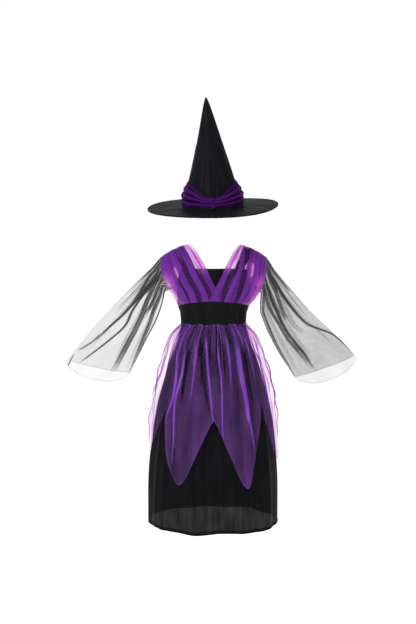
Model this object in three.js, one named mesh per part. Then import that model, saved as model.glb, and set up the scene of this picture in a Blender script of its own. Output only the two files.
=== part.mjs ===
// A child's witch costume, filled out as when it is worn, with no wearer inside:
// a long dress with net sleeves, and its pointed hat above the neck.
// Millimetres, +Z up. The front faces -Y. Left is -X and right is +X, as seen from the front.
// The origin lies midway between the tops of the shoulders.

import * as THREE from 'three';
import { mergeVertices } from 'three/addons/utils/BufferGeometryUtils.js';

// Cloth walls and the gap at a seam
const SATIN = 1.4;
const NET = 1.1;
const BAND_CLOTH = 3.0;
const SEAM = 0.3;

// Colours as 0xRRGGBB
const BLACK_SATIN = 0x1a1a1c;
const BLACK_NET = 0x151517;
const PURPLE_NET = 0x5a2d82;

// Heights on the dress
const WAIST_Z = -212;
const SHOULDER_Z = 2;
const CHEST_FROM_Z = -150;

// Sections are ovals of this power, where 2 is an ellipse
const OVAL_POWER = 2.2;

// The trunk inside the bodice and waistband: half width, and depth to the front and to the back.
// The yoke is the wider form that the drapes lie on, out over the tops of the arms.
const TRUNK = [
  { z: -212, half: 88.5, yoke: 88.5, front: 70, back: 66 },
  { z: -185, half: 90.0, yoke: 90.0, front: 71, back: 66 },
  { z: -160, half: 97.5, yoke: 98.5, front: 74, back: 68 },
  { z: -140, half: 100.5, yoke: 118, front: 78, back: 70 },
  { z: -105, half: 102, yoke: 143, front: 82, back: 72 },
  { z: -60, half: 104, yoke: 152, front: 84, back: 74 },
  { z: 10, half: 106, yoke: 152, front: 84, back: 76 },
];

// The shoulder line falls away from the neck towards the arm
const SHOULDER_FLAT = 70;
const SHOULDER_RUN = 73;
const SHOULDER_FALL = 34;
const SHOULDER_BEND = 1.6;
const SHOULDER_CROWN = 2.5;

// Top edge of the waistband, by distance from the middle
const BAND_TOP = [
  { x: 0, front: -147, back: -157 },
  { x: 49, front: -151, back: -158 },
  { x: 80, front: -156, back: -160 },
  { x: 98.5, front: -163, back: -163 },
];

// Top edge of the black bodice: the neckline, the strap's foot, then down the armhole to the side
const BODICE_TOP = [
  { turn: 0, front: -60, back: -72 },
  { turn: 50, front: -60, back: -72 },
  { turn: 58, front: -63, back: -75 },
  { turn: 66, front: -78, back: -85 },
  { turn: 74, front: -93, back: -96 },
  { turn: 82, front: -102, back: -103 },
  { turn: 90, front: -105, back: -105 },
];

// Shoulder straps of the bodice: distances from the middle at the foot and on the shoulder
const STRAP = { footInner: 60, footOuter: 85, topInner: 84, topOuter: 111 };

// Tulle drapes, from the waistband (rise 0) to the shoulder line (rise 1).
// Inner is the neck edge, negative where it has crossed the middle. Outer is the arm edge.
const DRAPES = {
  left: [
    { rise: 0, inner: -18, outer: 96 },
    { rise: 0.2, inner: -9, outer: 110 },
    { rise: 0.36, inner: 4, outer: 124 },
    { rise: 0.64, inner: 24, outer: 137 },
    { rise: 0.87, inner: 46, outer: 142 },
    { rise: 1, inner: 62, outer: 143 },
  ],
  right: [
    { rise: 0, inner: -12, outer: 96 },
    { rise: 0.1, inner: -7, outer: 108 },
    { rise: 0.31, inner: 10, outer: 126 },
    { rise: 0.65, inner: 36, outer: 139 },
    { rise: 0.87, inner: 54, outer: 142 },
    { rise: 1, inner: 67, outer: 143 },
  ],
};
const DRAPE_PLEATS = 6;
const DRAPE_CROWD = 1.25;
const DRAPE_LIFT = [
  { rise: 0, lift: 1.15, pleat: 0.15 },
  { rise: 0.12, lift: 2.8, pleat: 1.0 },
  { rise: 0.3, lift: 3.8, pleat: 2.0 },
  { rise: 0.7, lift: 4.1, pleat: 2.2 },
  { rise: 1, lift: 4.1, pleat: 1.9 },
];
const CROSSING = { full: 24, gone: 50, atBand: 1.7, above: 5.6 };

// Waistband shirring
const BAND_GATHERS = 8;
const BAND_GATHER_DEEP = 0.7;
const BAND_UNDER = -1.4;

// Underskirt: half width and depths down to the hem
const UNDERSKIRT = [
  { z: -212, half: 88.5, front: 70, back: 66 },
  { z: -271, half: 105, front: 83, back: 80 },
  { z: -314, half: 122, front: 96, back: 93 },
  { z: -356, half: 134, front: 106, back: 103 },
  { z: -437, half: 156, front: 121, back: 119 },
  { z: -523, half: 169, front: 131, back: 129 },
  { z: -671, half: 178, front: 137, back: 136 },
  { z: -764, half: 178, front: 139, back: 138 },
];
const UNDERSKIRT_HEM_Z = -764;
const UNDERSKIRT_FOLDS = 11;
const UNDERSKIRT_FOLD_TURN = 14;
const UNDERSKIRT_FOLD_DEEP = [
  { z: -212, deep: 0 },
  { z: -260, deep: 1.5 },
  { z: -764, deep: 5 },
];

// Overskirt of petals: it stands off the underskirt from the waist down
const OVERSKIRT = [
  { z: -212, half: 88.5, front: 70, back: 66 },
  { z: -215, half: 89.3, front: 70.7, back: 66.7 },
  { z: -223, half: 98, front: 79, back: 75 },
  { z: -236, half: 111, front: 90, back: 87 },
  { z: -251, half: 121, front: 98, back: 95 },
  { z: -297, half: 138, front: 112, back: 109 },
  { z: -361, half: 154, front: 125, back: 122 },
  { z: -414, half: 168, front: 134, back: 131 },
  { z: -462, half: 172.5, front: 140, back: 138 },
  { z: -534, half: 178, front: 145, back: 143 },
  { z: -640, half: 184, front: 149, back: 148 },
];
const OVERSKIRT_GATHERS = 26;
const OVERSKIRT_GATHER_DEEP = [
  { z: -212, deep: 0 },
  { z: -222, deep: 2.2 },
  { z: -240, deep: 4.6 },
  { z: -340, deep: 4.2 },
  { z: -520, deep: 2.3 },
  { z: -640, deep: 1.5 },
];

// Lower edge of the overskirt: valleys and petal tips, by turn from the front in degrees.
// Bow is the power of the edge from one row to the next: the lower, the fuller the petal's side.
const PETALS = [
  { turn: -180, z: -462, bow: 0.77 },
  { turn: -152, z: -632, bow: 0.5 },
  { turn: -132, z: -440, bow: 0.6 },
  { turn: -84, z: -574, bow: 0.6 },
  { turn: -47, z: -433, bow: 0.3 },
  { turn: -28, z: -631, bow: 0.77 },
  { turn: 0, z: -458, bow: 0.77 },
  { turn: 27, z: -640, bow: 0.9 },
  { turn: 48, z: -420, bow: 0.45 },
  { turn: 84, z: -612, bow: 0.55 },
  { turn: 132, z: -436, bow: 0.5 },
  { turn: 153, z: -636, bow: 0.77 },
  { turn: 180, z: -462, bow: 0.77 },
];
const OVERSKIRT_CROWD = 0.6;
const OVERSKIRT_TOP_Z = WAIST_Z - 0.9;

// Net sleeves, from the armhole (way 0) to the cuff (way 1): the outer and the inner outline
// as seen from the front, and half the depth from front to back
const SLEEVES = {
  left: [
    { way: 0.1, outerX: 166, outerZ: -55, innerX: 135, innerZ: -122, depth: 30 },
    { way: 0.3, outerX: 219, outerZ: -104, innerX: 142, innerZ: -158, depth: 33 },
    { way: 0.5, outerX: 282, outerZ: -166, innerX: 157, innerZ: -203, depth: 36 },
    { way: 0.75, outerX: 349, outerZ: -241, innerX: 188, innerZ: -262, depth: 39 },
    { way: 1, outerX: 405, outerZ: -312, innerX: 231, innerZ: -347, depth: 42 },
  ],
  right: [
    { way: 0.1, outerX: 167, outerZ: -64, innerX: 131, innerZ: -126, depth: 30 },
    { way: 0.3, outerX: 217, outerZ: -120, innerX: 130, innerZ: -170, depth: 33 },
    { way: 0.5, outerX: 268, outerZ: -177, innerX: 144, innerZ: -215, depth: 36 },
    { way: 0.75, outerX: 333, outerZ: -239, innerX: 177, innerZ: -282, depth: 39 },
    { way: 1, outerX: 392, outerZ: -300, innerX: 225, innerZ: -360, depth: 42 },
  ],
};
const SLEEVE_FOLDS = 10;
const SLEEVE_FOLD_DEEP = [
  { way: 0, deep: 0 },
  { way: 0.06, deep: 1.6 },
  { way: 0.3, deep: 3.6 },
  { way: 1, deep: 4.2 },
];
const SLEEVE_SET = 0.1;
const SLEEVE_CROWD = 1.25;
const CUFF_DIP_FRONT = 36;
const CUFF_DIP_BACK = 13;
const ARMHOLE_LOW_RISE = 0.42;
const ARMHOLE_TURN = 115;
const ARMHOLE_SEAM = 1.3;
const ARMPIT = { x: 103.0, z: -107.5, sag: 4 };

// Hat, in its own frame: the brim's upper face is at height 0 and the front faces -Y
const HAT_PLACE = { x: -2, y: 0, z: 113, pitch: 12.4, roll: 2 };
const HAT_HEIGHT = 292;
const HAT_LEAN = 9;
const HAT_CLOTH = 1.5;
const CROWN = [
  { up: 0, radius: 84 },
  { up: 30, radius: 77 },
  { up: 72, radius: 62.5 },
  { up: 130, radius: 45 },
  { up: 200, radius: 27.8 },
  { up: 249, radius: 14.5 },
  { up: 283, radius: 4.5 },
  { up: 292, radius: 0 },
];
const CROWN_HOLLOW_TOP = 268;
const BRIM_INNER = 81;
const BRIM_OUTER = 176;
const BRIM_CLOTH = 2.0;
const BRIM_DROOP = 4;
const BRIM_WAVE = 1.6;
const BINDING_WIRE = 1.9;

// Scarf round the hat, by turn from the front: lower and upper edge, fullness, and fold depth
const SCARF = [
  { turn: 0, low: 8, high: 30, full: 2.0, fold: 0.2 },
  { turn: 20, low: 7, high: 38, full: 3.6, fold: 0.8 },
  { turn: 45, low: 5, high: 57, full: 5.6, fold: 1.3 },
  { turn: 80, low: 4, high: 69, full: 6.6, fold: 1.5 },
  { turn: 135, low: 4, high: 66, full: 6.2, fold: 1.5 },
  { turn: 180, low: 5, high: 60, full: 5.4, fold: 1.3 },
];
const SCARF_FOLDS = 3;
const SCARF_REST = 1.3;
const SCARF_GAP_TURN = 0.2;
const PINCH = { low: 5, high: 33, half: 6.5, lift: 4.0, swell: 3.2 };

const DEGREE = Math.PI / 180;
const STEP = 1e-3;

function smooth(from, to, value) {
  return THREE.MathUtils.smoothstep(value, from, to);
}

// Reads one column of a table at a value of its key, on a smooth curve that never overshoots
function read(table, key, column, value) {
  const last = table.length - 1;
  const rising = table[last][key] > table[0][key] ? 1 : -1;
  let row = 0;
  while (row < last - 1 && (value - table[row + 1][key]) * rising > 0) {
    row += 1;
  }
  const rise = (i) => (table[i + 1][column] - table[i][column]) / (table[i + 1][key] - table[i][key]);
  const slope = (i) => {
    if (i === 0) return rise(0);
    if (i === last) return rise(last - 1);
    const before = rise(i - 1);
    const after = rise(i);
    return before * after <= 0 ? 0 : (2 * before * after) / (before + after);
  };
  const wide = table[row + 1][key] - table[row][key];
  const t = (value - table[row][key]) / wide;
  const low = table[row][column] * (1 + 2 * t) * (1 - t) ** 2;
  const high = table[row + 1][column] * t * t * (3 - 2 * t);
  return low + high + wide * (slope(row) * t * (1 - t) ** 2 - slope(row + 1) * t * t * (1 - t));
}

function outward(surface, u, v, sign) {
  const across = surface(u + STEP, v).sub(surface(u - STEP, v));
  const along = surface(u, v + STEP).sub(surface(u, v - STEP));
  return across.cross(along).normalize().multiplyScalar(sign);
}

// A cloth wall on a surface of two fractions: its faces lie at two distances along the normal
function wall(surface, { across, along, inner, outer, sign = 1, loop = false }) {
  const points = [];
  const rows = along + 1;
  const columns = loop ? across : across + 1;
  for (let i = 0; i < columns; i += 1) {
    for (let j = 0; j < rows; j += 1) {
      const place = surface(i / across, j / along);
      const normal = outward(surface, i / across, j / along, sign);
      points.push(place.clone().addScaledVector(normal, outer));
      points.push(place.clone().addScaledVector(normal, inner));
    }
  }
  const faces = [];
  const corner = (i, j, face) => ((i % columns) * rows + j) * 2 + face;
  const quad = (a, b, c, d) => faces.push(a, b, c, a, c, d);
  for (let i = 0; i < across; i += 1) {
    for (let j = 0; j < along; j += 1) {
      quad(corner(i, j, 0), corner(i + 1, j, 0), corner(i + 1, j + 1, 0), corner(i, j + 1, 0));
      faces.push(corner(i, j, 1), corner(i + 1, j + 1, 1), corner(i + 1, j, 1));
      faces.push(corner(i, j, 1), corner(i, j + 1, 1), corner(i + 1, j + 1, 1));
    }
    quad(corner(i + 1, 0, 0), corner(i, 0, 0), corner(i, 0, 1), corner(i + 1, 0, 1));
    quad(corner(i, along, 0), corner(i + 1, along, 0), corner(i + 1, along, 1), corner(i, along, 1));
  }
  for (let j = 0; j < along && !loop; j += 1) {
    quad(corner(across, j + 1, 0), corner(across, j, 0), corner(across, j, 1), corner(across, j + 1, 1));
    quad(corner(0, j, 0), corner(0, j + 1, 0), corner(0, j + 1, 1), corner(0, j, 1));
  }
  const geometry = new THREE.BufferGeometry().setFromPoints(points);
  geometry.setIndex(sign > 0 ? faces : faces.toReversed());
  return geometry;
}

function piece(name, geometry, colour, roughness) {
  const material = new THREE.MeshStandardMaterial({ color: colour, roughness, metalness: 0 });
  const mesh = new THREE.Mesh(geometry, material);
  mesh.name = name;
  return mesh;
}

// Oval section at a turn in degrees from the front, growing towards +X
function oval(turn, z, half, front, back) {
  const side = Math.sin(turn * DEGREE);
  const fore = Math.cos(turn * DEGREE);
  const power = 2 / OVAL_POWER;
  const x = half * Math.sign(side) * Math.abs(side) ** power;
  const depth = fore > 0 ? -front : back;
  return new THREE.Vector3(x, depth * Math.abs(fore) ** power, z);
}

function shoulderZ(x) {
  const out = Math.max(0, Math.abs(x) - SHOULDER_FLAT) / SHOULDER_RUN;
  return SHOULDER_Z - SHOULDER_FALL * out ** SHOULDER_BEND;
}

// How much of the chest's depth is left at a height, closing to none on the shoulder line
function chestShare(x, z) {
  const rise = THREE.MathUtils.clamp((z - CHEST_FROM_Z) / (shoulderZ(x) - CHEST_FROM_Z), 0, 1);
  return Math.sqrt(1 - rise ** SHOULDER_CROWN);
}

function trunk(turn, z) {
  const half = read(TRUNK, 'z', 'half', z);
  const flat = oval(turn, z, half, read(TRUNK, 'z', 'front', z), read(TRUNK, 'z', 'back', z));
  flat.y *= chestShare(flat.x, z);
  return flat;
}

// Depth of the form at a place on it: width 0 is the trunk's own, and 1 the yoke's
function formY(x, z, facing, width) {
  const half = THREE.MathUtils.lerp(read(TRUNK, 'z', 'half', z), read(TRUNK, 'z', 'yoke', z), width);
  const depth = read(TRUNK, 'z', facing < 0 ? 'front' : 'back', z);
  const share = Math.max(0, 1 - (Math.abs(x) / half) ** OVAL_POWER) ** (1 / OVAL_POWER);
  return facing * depth * share * chestShare(x, z);
}

function bandTop(x, facing) {
  const away = Math.min(Math.abs(x), BAND_TOP.at(-1).x);
  return read(BAND_TOP, 'x', facing < 0 ? 'front' : 'back', away);
}

function turnOfX(x, z) {
  const share = Math.abs(x) / read(TRUNK, 'z', 'half', z);
  return Math.asin(Math.min(1, share ** (OVAL_POWER / 2))) / DEGREE;
}

function bodiceTop(turn, facing) {
  return read(BODICE_TOP, 'turn', facing < 0 ? 'front' : 'back', Math.min(90, Math.abs(turn)));
}

// Half of a ring, from side to side: the front runs from -90 to 90 degrees, the back from 90 to 270
function halfTurn(facing, u, seamTurn) {
  const from = facing < 0 ? -90 + seamTurn : 90 + seamTurn;
  return from + u * (180 - 2 * seamTurn);
}

// The side seams' gap of SEAM, as a turn at the side of a ring
function seamTurn(depth) {
  return Math.asin((SEAM / 2 / depth) ** (OVAL_POWER / 2)) / DEGREE;
}

function bodice(name, facing) {
  const gap = seamTurn(70);
  const surface = (u, v) => {
    const turn = halfTurn(facing, u, gap);
    const fromMiddle = facing < 0 ? Math.abs(turn) : Math.abs(180 - turn);
    const low = bandTop(trunk(turn, CHEST_FROM_Z).x, facing) + SEAM;
    const high = bodiceTop(fromMiddle, facing);
    return trunk(turn, low + (high - low) * v);
  };
  const geometry = wall(surface, { across: 18, along: 4, inner: -SATIN, outer: 0 });
  return piece(name, geometry, BLACK_SATIN, 0.5);
}

function strap(name, side) {
  const surface = (u, v) => {
    const way = 2 * v - 1;
    const facing = way < 0 ? -1 : 1;
    const rise = 1 - way * way;
    const share = side > 0 ? u : 1 - u;
    const foot = THREE.MathUtils.lerp(STRAP.footInner, STRAP.footOuter, share);
    const top = THREE.MathUtils.lerp(STRAP.topInner, STRAP.topOuter, share);
    const x = THREE.MathUtils.lerp(foot, top, smooth(0, 1, rise));
    const edge = facing < 0 ? BODICE_TOP[0].front : BODICE_TOP[0].back;
    const footZ = bodiceTop(turnOfX(foot, edge), facing) + 2 * SEAM;
    const z = footZ + (shoulderZ(x) - footZ) * rise;
    return new THREE.Vector3(side * x, formY(x, z, facing, smooth(0, 0.9, rise)), z);
  };
  const geometry = wall(surface, { across: 3, along: 12, inner: -SATIN - SEAM, outer: -SEAM });
  return piece(name, geometry, BLACK_SATIN, 0.5);
}

// Surface of one drape, before its pleats: share 0 is the neck edge, 1 the arm edge, and way runs
// from -1 at the front of the waistband, over the shoulder at 0, to 1 at the back of it
function drapeForm(side, share, way) {
  const table = side < 0 ? DRAPES.left : DRAPES.right;
  const facing = way < 0 ? -1 : 1;
  const rise = 1 - way * way;
  const inner = read(table, 'rise', 'inner', rise);
  const x = inner + (read(table, 'rise', 'outer', rise) - inner) * share;
  const low = bandTop(x, facing) + SEAM;
  const z = low + (shoulderZ(x) - low) * rise;
  return new THREE.Vector3(side * x, formY(x, z, facing, 1), z);
}

function drapePleated(side, share, way) {
  const form = (u, v) => drapeForm(side, u, v);
  const rise = 1 - way * way;
  const place = form(share, way);
  const pleat = read(DRAPE_LIFT, 'rise', 'pleat', rise) * Math.cos(2 * Math.PI * DRAPE_PLEATS * share);
  const edge = Math.min(1, 8 * share * (1 - share));
  let lift = read(DRAPE_LIFT, 'rise', 'lift', rise) + pleat * edge;
  if (side > 0) {
    const over = 1 - smooth(CROSSING.full, CROSSING.gone, place.x);
    lift += over * THREE.MathUtils.lerp(CROSSING.atBand, CROSSING.above, smooth(0, 0.25, rise));
  }
  return place.addScaledVector(outward(form, share, way, side), lift);
}

function drape(name, side, facing) {
  const gap = SEAM / 2 / TRUNK.at(-1).front;
  const surface = (u, v) => {
    const up = facing < 0 ? v : 1 - v;
    const away = gap + (1 - gap) * (1 - Math.max(0, up) ** DRAPE_CROWD);
    const way = facing * away;
    return drapePleated(side, side > 0 ? u : 1 - u, way);
  };
  const geometry = wall(surface, { across: 24, along: 6, inner: -NET / 2, outer: NET / 2 });
  return piece(name, geometry, PURPLE_NET, 0.75);
}

function waistband(name, facing) {
  const gap = seamTurn(66);
  const surface = (u, v) => {
    const turn = halfTurn(facing, u, gap);
    const low = trunk(turn, WAIST_Z);
    const high = bandTop(trunk(turn, CHEST_FROM_Z).x, facing);
    const place = trunk(turn, WAIST_Z + (high - WAIST_Z) * v);
    const fade = Math.sin(Math.PI * THREE.MathUtils.clamp(v, 0, 1));
    const gather = BAND_GATHER_DEEP * fade * (Math.cos(2 * Math.PI * BAND_GATHERS * u) - 1);
    const out = new THREE.Vector3(low.x, low.y, 0).normalize();
    return place.addScaledVector(out, gather);
  };
  const outer = BAND_UNDER + BAND_CLOTH;
  const geometry = wall(surface, { across: 32, along: 2, inner: BAND_UNDER, outer });
  return piece(name, geometry, BLACK_SATIN, 0.55);
}

function skirtRing(table, turn, z) {
  const columns = ['half', 'front', 'back'].map((column) => read(table, 'z', column, z));
  return oval(turn, z, ...columns);
}

function underskirt(name, facing) {
  const gap = seamTurn(66);
  const top = WAIST_Z - SEAM;
  const surface = (u, v) => {
    const turn = halfTurn(facing, u, gap);
    const z = UNDERSKIRT_HEM_Z + (top - UNDERSKIRT_HEM_Z) * v;
    const place = skirtRing(UNDERSKIRT, turn, z);
    const wave = Math.cos((turn + UNDERSKIRT_FOLD_TURN) * UNDERSKIRT_FOLDS * DEGREE);
    const out = new THREE.Vector3(place.x, place.y, 0).normalize();
    return place.addScaledVector(out, read(UNDERSKIRT_FOLD_DEEP, 'z', 'deep', z) * wave);
  };
  const inner = BAND_UNDER;
  const geometry = wall(surface, { across: 24, along: 6, inner, outer: inner + SATIN });
  return piece(name, geometry, BLACK_SATIN, 0.45);
}

// Height of the overskirt's lower edge at a turn
function petalEdge(turn) {
  const around = THREE.MathUtils.euclideanModulo(turn + 180, 360) - 180;
  let row = 0;
  while (row < PETALS.length - 2 && around > PETALS[row + 1].turn) {
    row += 1;
  }
  const [before, after] = [PETALS[row], PETALS[row + 1]];
  const share = (around - before.turn) / (after.turn - before.turn);
  const [valley, tip] = before.z > after.z ? [before, after] : [after, before];
  const down = before.z > after.z ? share : 1 - share;
  return valley.z + (tip.z - valley.z) * Math.max(0, down) ** before.bow;
}

function overskirt(name, facing) {
  const gap = seamTurn(66);
  const surface = (u, v) => {
    const turn = halfTurn(facing, u, gap);
    const low = petalEdge(turn);
    const z = low + (OVERSKIRT_TOP_Z - low) * (v + OVERSKIRT_CROWD * v * (1 - v));
    const place = skirtRing(OVERSKIRT, turn, z);
    const wave = Math.cos(turn * OVERSKIRT_GATHERS * DEGREE);
    const out = new THREE.Vector3(place.x, place.y, 0).normalize();
    return place.addScaledVector(out, read(OVERSKIRT_GATHER_DEEP, 'z', 'deep', z) * wave);
  };
  const inner = 0.45;
  const geometry = wall(surface, { across: 52, along: 6, inner, outer: inner + NET });
  return piece(name, geometry, PURPLE_NET, 0.7);
}

// The armhole as a closed loop: turn 0 on the shoulder, 90 at the front, 180 in the armpit
function armhole(side, turn) {
  const around = THREE.MathUtils.euclideanModulo(turn + 180, 360) - 180;
  const facing = around < 0 ? 1 : -1;
  const away = Math.abs(around);
  const lowWay = Math.sqrt(1 - ARMHOLE_LOW_RISE);
  const way = facing * lowWay * Math.min(1, away / ARMHOLE_TURN);
  const edge = drapePleated(side, 1, way);
  const inside = drapePleated(side, 0.99, way);
  const seam = edge.clone().addScaledVector(edge.clone().sub(inside).normalize(), ARMHOLE_SEAM);
  if (away <= ARMHOLE_TURN) return seam;
  const under = ((away - ARMHOLE_TURN) / (180 - ARMHOLE_TURN)) * (Math.PI / 2);
  const x = THREE.MathUtils.lerp(Math.abs(seam.x), ARMPIT.x, Math.sin(under) ** 2);
  const z = THREE.MathUtils.lerp(seam.z, ARMPIT.z, Math.sin(under)) - ARMPIT.sag * Math.sin(2 * under);
  return new THREE.Vector3(side * x, seam.y * Math.cos(under), z);
}

function sleeve(name, side) {
  const table = side < 0 ? SLEEVES.left : SLEEVES.right;
  const ring = (turn, way) => {
    const [outerX, outerZ, innerX, innerZ, depth] = ['outerX', 'outerZ', 'innerX', 'innerZ', 'depth']
      .map((column) => read(table, 'way', column, way));
    const outer = new THREE.Vector3(side * outerX, 0, outerZ);
    const inner = new THREE.Vector3(side * innerX, 0, innerZ);
    const middle = outer.clone().add(inner).multiplyScalar(0.5);
    const lean = outer.clone().sub(middle);
    const place = middle.clone().addScaledVector(lean, Math.cos(turn * DEGREE));
    const fore = Math.sin(turn * DEGREE);
    place.y = -depth * fore;
    const down = new THREE.Vector3(-lean.z * side, 0, lean.x * side).normalize();
    down.multiplyScalar(down.z > 0 ? -1 : 1);
    const dip = (fore > 0 ? CUFF_DIP_FRONT : CUFF_DIP_BACK) * Math.abs(fore) * Math.max(0, way) ** 3;
    const out = new THREE.Vector3(place.x - middle.x, place.y, place.z - middle.z).normalize();
    place.addScaledVector(down, dip);
    const fold = read(SLEEVE_FOLD_DEEP, 'way', 'deep', way);
    return place.addScaledVector(out, fold * Math.cos(SLEEVE_FOLDS * turn * DEGREE));
  };
  const surface = (u, v) => {
    const turn = 360 * u;
    const set = smooth(0, SLEEVE_SET, v);
    return armhole(side, turn).lerp(ring(turn, Math.max(v, SLEEVE_SET)), set);
  };
  const spread = (u, v) => surface(u, Math.max(0, v) ** SLEEVE_CROWD);
  const geometry = wall(spread, {
    across: SLEEVE_FOLDS * 4,
    along: 9,
    inner: -NET / 2,
    outer: NET / 2,
    sign: side > 0 ? -1 : 1,
    loop: true,
  });
  return piece(name, geometry, BLACK_NET, 0.8);
}

function hatLean(up) {
  return -HAT_LEAN * (Math.max(0, up) / HAT_HEIGHT) ** 2;
}

// Shifts every point of a round geometry in the hat's frame
function reshape(geometry, move) {
  const merged = geometry.clone();
  merged.deleteAttribute('normal');
  merged.deleteAttribute('uv');
  const joined = mergeVertices(merged, STEP);
  const places = joined.getAttribute('position');
  const place = new THREE.Vector3();
  for (let i = 0; i < places.count; i += 1) {
    place.fromBufferAttribute(places, i);
    move(place);
    places.setXYZ(i, place.x, place.y, place.z);
  }
  return withoutSlivers(joined);
}

// Drops the empty triangles that a lathe leaves on its axis
function withoutSlivers(geometry) {
  const kept = [];
  const index = geometry.getIndex().array;
  for (let i = 0; i < index.length; i += 3) {
    const [a, b, c] = index.slice(i, i + 3);
    if (a !== b && b !== c && c !== a) kept.push(a, b, c);
  }
  geometry.setIndex(kept);
  return geometry;
}

// A lathe turned upright: profile points are radius and height, listed from the bottom outside up
function turned(profile, segments) {
  const points = profile.map(([radius, up]) => new THREE.Vector2(radius, up));
  return new THREE.LatheGeometry(points, segments).rotateX(Math.PI / 2);
}

function hatCrown() {
  const outer = CROWN.map(({ up, radius }) => [radius, Math.max(up, SEAM)]);
  const inner = CROWN.filter(({ up }) => up < CROWN_HOLLOW_TOP)
    .map(({ up, radius }) => [radius - HAT_CLOTH, Math.max(up, SEAM)]);
  inner.push([0, CROWN_HOLLOW_TOP]);
  const profile = [...outer, ...inner.toReversed(), outer[0]];
  const geometry = reshape(turned(profile, 28), (place) => {
    place.x += hatLean(place.z);
  });
  return piece('hat_crown', geometry, BLACK_SATIN, 0.4);
}

function brimMove(place) {
  const radius = Math.hypot(place.x, place.y);
  const reach = Math.max(0, (radius - CROWN[0].radius) / (BRIM_OUTER - CROWN[0].radius)) ** 1.5;
  const fore = place.y / radius;
  const around = Math.atan2(place.x, -place.y);
  place.z += reach * (BRIM_WAVE * Math.cos(3 * around + 1) - BRIM_DROOP * fore * fore);
}

function hatBrim() {
  const radii = [BRIM_INNER, 100, 125, 150, BRIM_OUTER];
  const lower = radii.map((radius) => [radius, -BRIM_CLOTH]);
  const upper = radii.toReversed().map((radius) => [radius, 0]);
  const geometry = reshape(turned([...lower, ...upper, lower[0]], 36), brimMove);
  return piece('hat_brim', geometry, BLACK_SATIN, 0.45);
}

function hatBinding() {
  const radius = BRIM_OUTER + SEAM + BINDING_WIRE;
  const ring = new THREE.TorusGeometry(radius, BINDING_WIRE, 5, 36).translate(0, 0, -BRIM_CLOTH / 2);
  return piece('hat_brim_binding', reshape(ring, brimMove), BLACK_SATIN, 0.5);
}

function onHat(turn, up, radius) {
  const x = radius * Math.sin(turn * DEGREE) + hatLean(up);
  return new THREE.Vector3(x, -radius * Math.cos(turn * DEGREE), up);
}

function hatScarf(name, side) {
  const surface = (u, v) => {
    const away = SCARF_GAP_TURN + (180 - 2 * SCARF_GAP_TURN) * (side > 0 ? u : 1 - u);
    const low = read(SCARF, 'turn', 'low', away);
    const up = low + (read(SCARF, 'turn', 'high', away) - low) * v;
    const swell = Math.sin(Math.PI * THREE.MathUtils.clamp(v, 0, 1)) ** 0.7;
    const fold = read(SCARF, 'turn', 'fold', away) * Math.cos(2 * Math.PI * SCARF_FOLDS * v) * swell;
    const lift = SCARF_REST + read(SCARF, 'turn', 'full', away) * swell + fold;
    return onHat(side * away, up, read(CROWN, 'up', 'radius', up) + lift);
  };
  const geometry = wall(surface, { across: 13, along: 9, inner: -NET / 2, outer: NET / 2 });
  return piece(name, geometry, PURPLE_NET, 0.65);
}

function hatPinch() {
  const surface = (u, v) => {
    const bend = (2 * u - 1) * 80;
    const up = PINCH.low + (PINCH.high - PINCH.low) * v;
    const lift = PINCH.lift + PINCH.swell * Math.cos(bend * DEGREE);
    const front = onHat(0, up, read(CROWN, 'up', 'radius', up) + lift);
    front.x += PINCH.half * Math.sin(bend * DEGREE);
    return front;
  };
  const geometry = wall(surface, { across: 6, along: 4, inner: -NET / 2, outer: NET / 2 });
  return piece('hat_scarf_pinch', geometry, PURPLE_NET, 0.65);
}

function hat() {
  const group = new THREE.Group();
  group.add(hatCrown(), hatBrim(), hatBinding());
  group.add(hatScarf('hat_scarf_left', -1), hatScarf('hat_scarf_right', 1), hatPinch());
  group.position.set(HAT_PLACE.x, HAT_PLACE.y, HAT_PLACE.z);
  group.rotation.set(HAT_PLACE.pitch * DEGREE, -HAT_PLACE.roll * DEGREE, 0, 'YXZ');
  return group;
}

function dress() {
  const group = new THREE.Group();
  for (const [word, facing] of [['front', -1], ['back', 1]]) {
    group.add(bodice(`bodice_${word}`, facing));
    group.add(waistband(`waistband_${word}`, facing));
    group.add(underskirt(`underskirt_${word}`, facing));
    group.add(overskirt(`overskirt_${word}`, facing));
    group.add(drape(`drape_${word}_left`, -1, facing));
    group.add(drape(`drape_${word}_right`, 1, facing));
  }
  for (const [word, side] of [['left', -1], ['right', 1]]) {
    group.add(strap(`shoulder_strap_${word}`, side));
    group.add(sleeve(`sleeve_${word}`, side));
  }
  return group;
}

const costume = new THREE.Group();
costume.add(dress(), hat());

export default costume;
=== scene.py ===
"""A child's witch costume, filled out as when it is worn, with no wearer inside.

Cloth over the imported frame. Forms and folds are worked out in millimetres, +Z up, with the front
towards -Y. Left is -X and right is +X, as seen from the front.
"""

import math

import bpy
import numpy as np
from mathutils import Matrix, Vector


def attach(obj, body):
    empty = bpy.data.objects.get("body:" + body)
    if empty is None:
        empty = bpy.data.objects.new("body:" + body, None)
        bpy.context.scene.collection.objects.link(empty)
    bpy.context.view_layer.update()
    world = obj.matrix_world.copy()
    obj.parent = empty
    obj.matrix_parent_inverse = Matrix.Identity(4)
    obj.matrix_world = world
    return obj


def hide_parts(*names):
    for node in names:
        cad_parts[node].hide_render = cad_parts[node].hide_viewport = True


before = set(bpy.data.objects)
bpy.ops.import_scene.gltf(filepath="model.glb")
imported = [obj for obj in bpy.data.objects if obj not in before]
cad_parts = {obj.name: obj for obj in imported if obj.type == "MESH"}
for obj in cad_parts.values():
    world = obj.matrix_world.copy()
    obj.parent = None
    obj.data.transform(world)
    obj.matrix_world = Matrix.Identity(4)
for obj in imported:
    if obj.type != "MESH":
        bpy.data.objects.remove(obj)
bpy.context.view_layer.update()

MM = 0.001
STEP = 1e-3
SEED = 11


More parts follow.
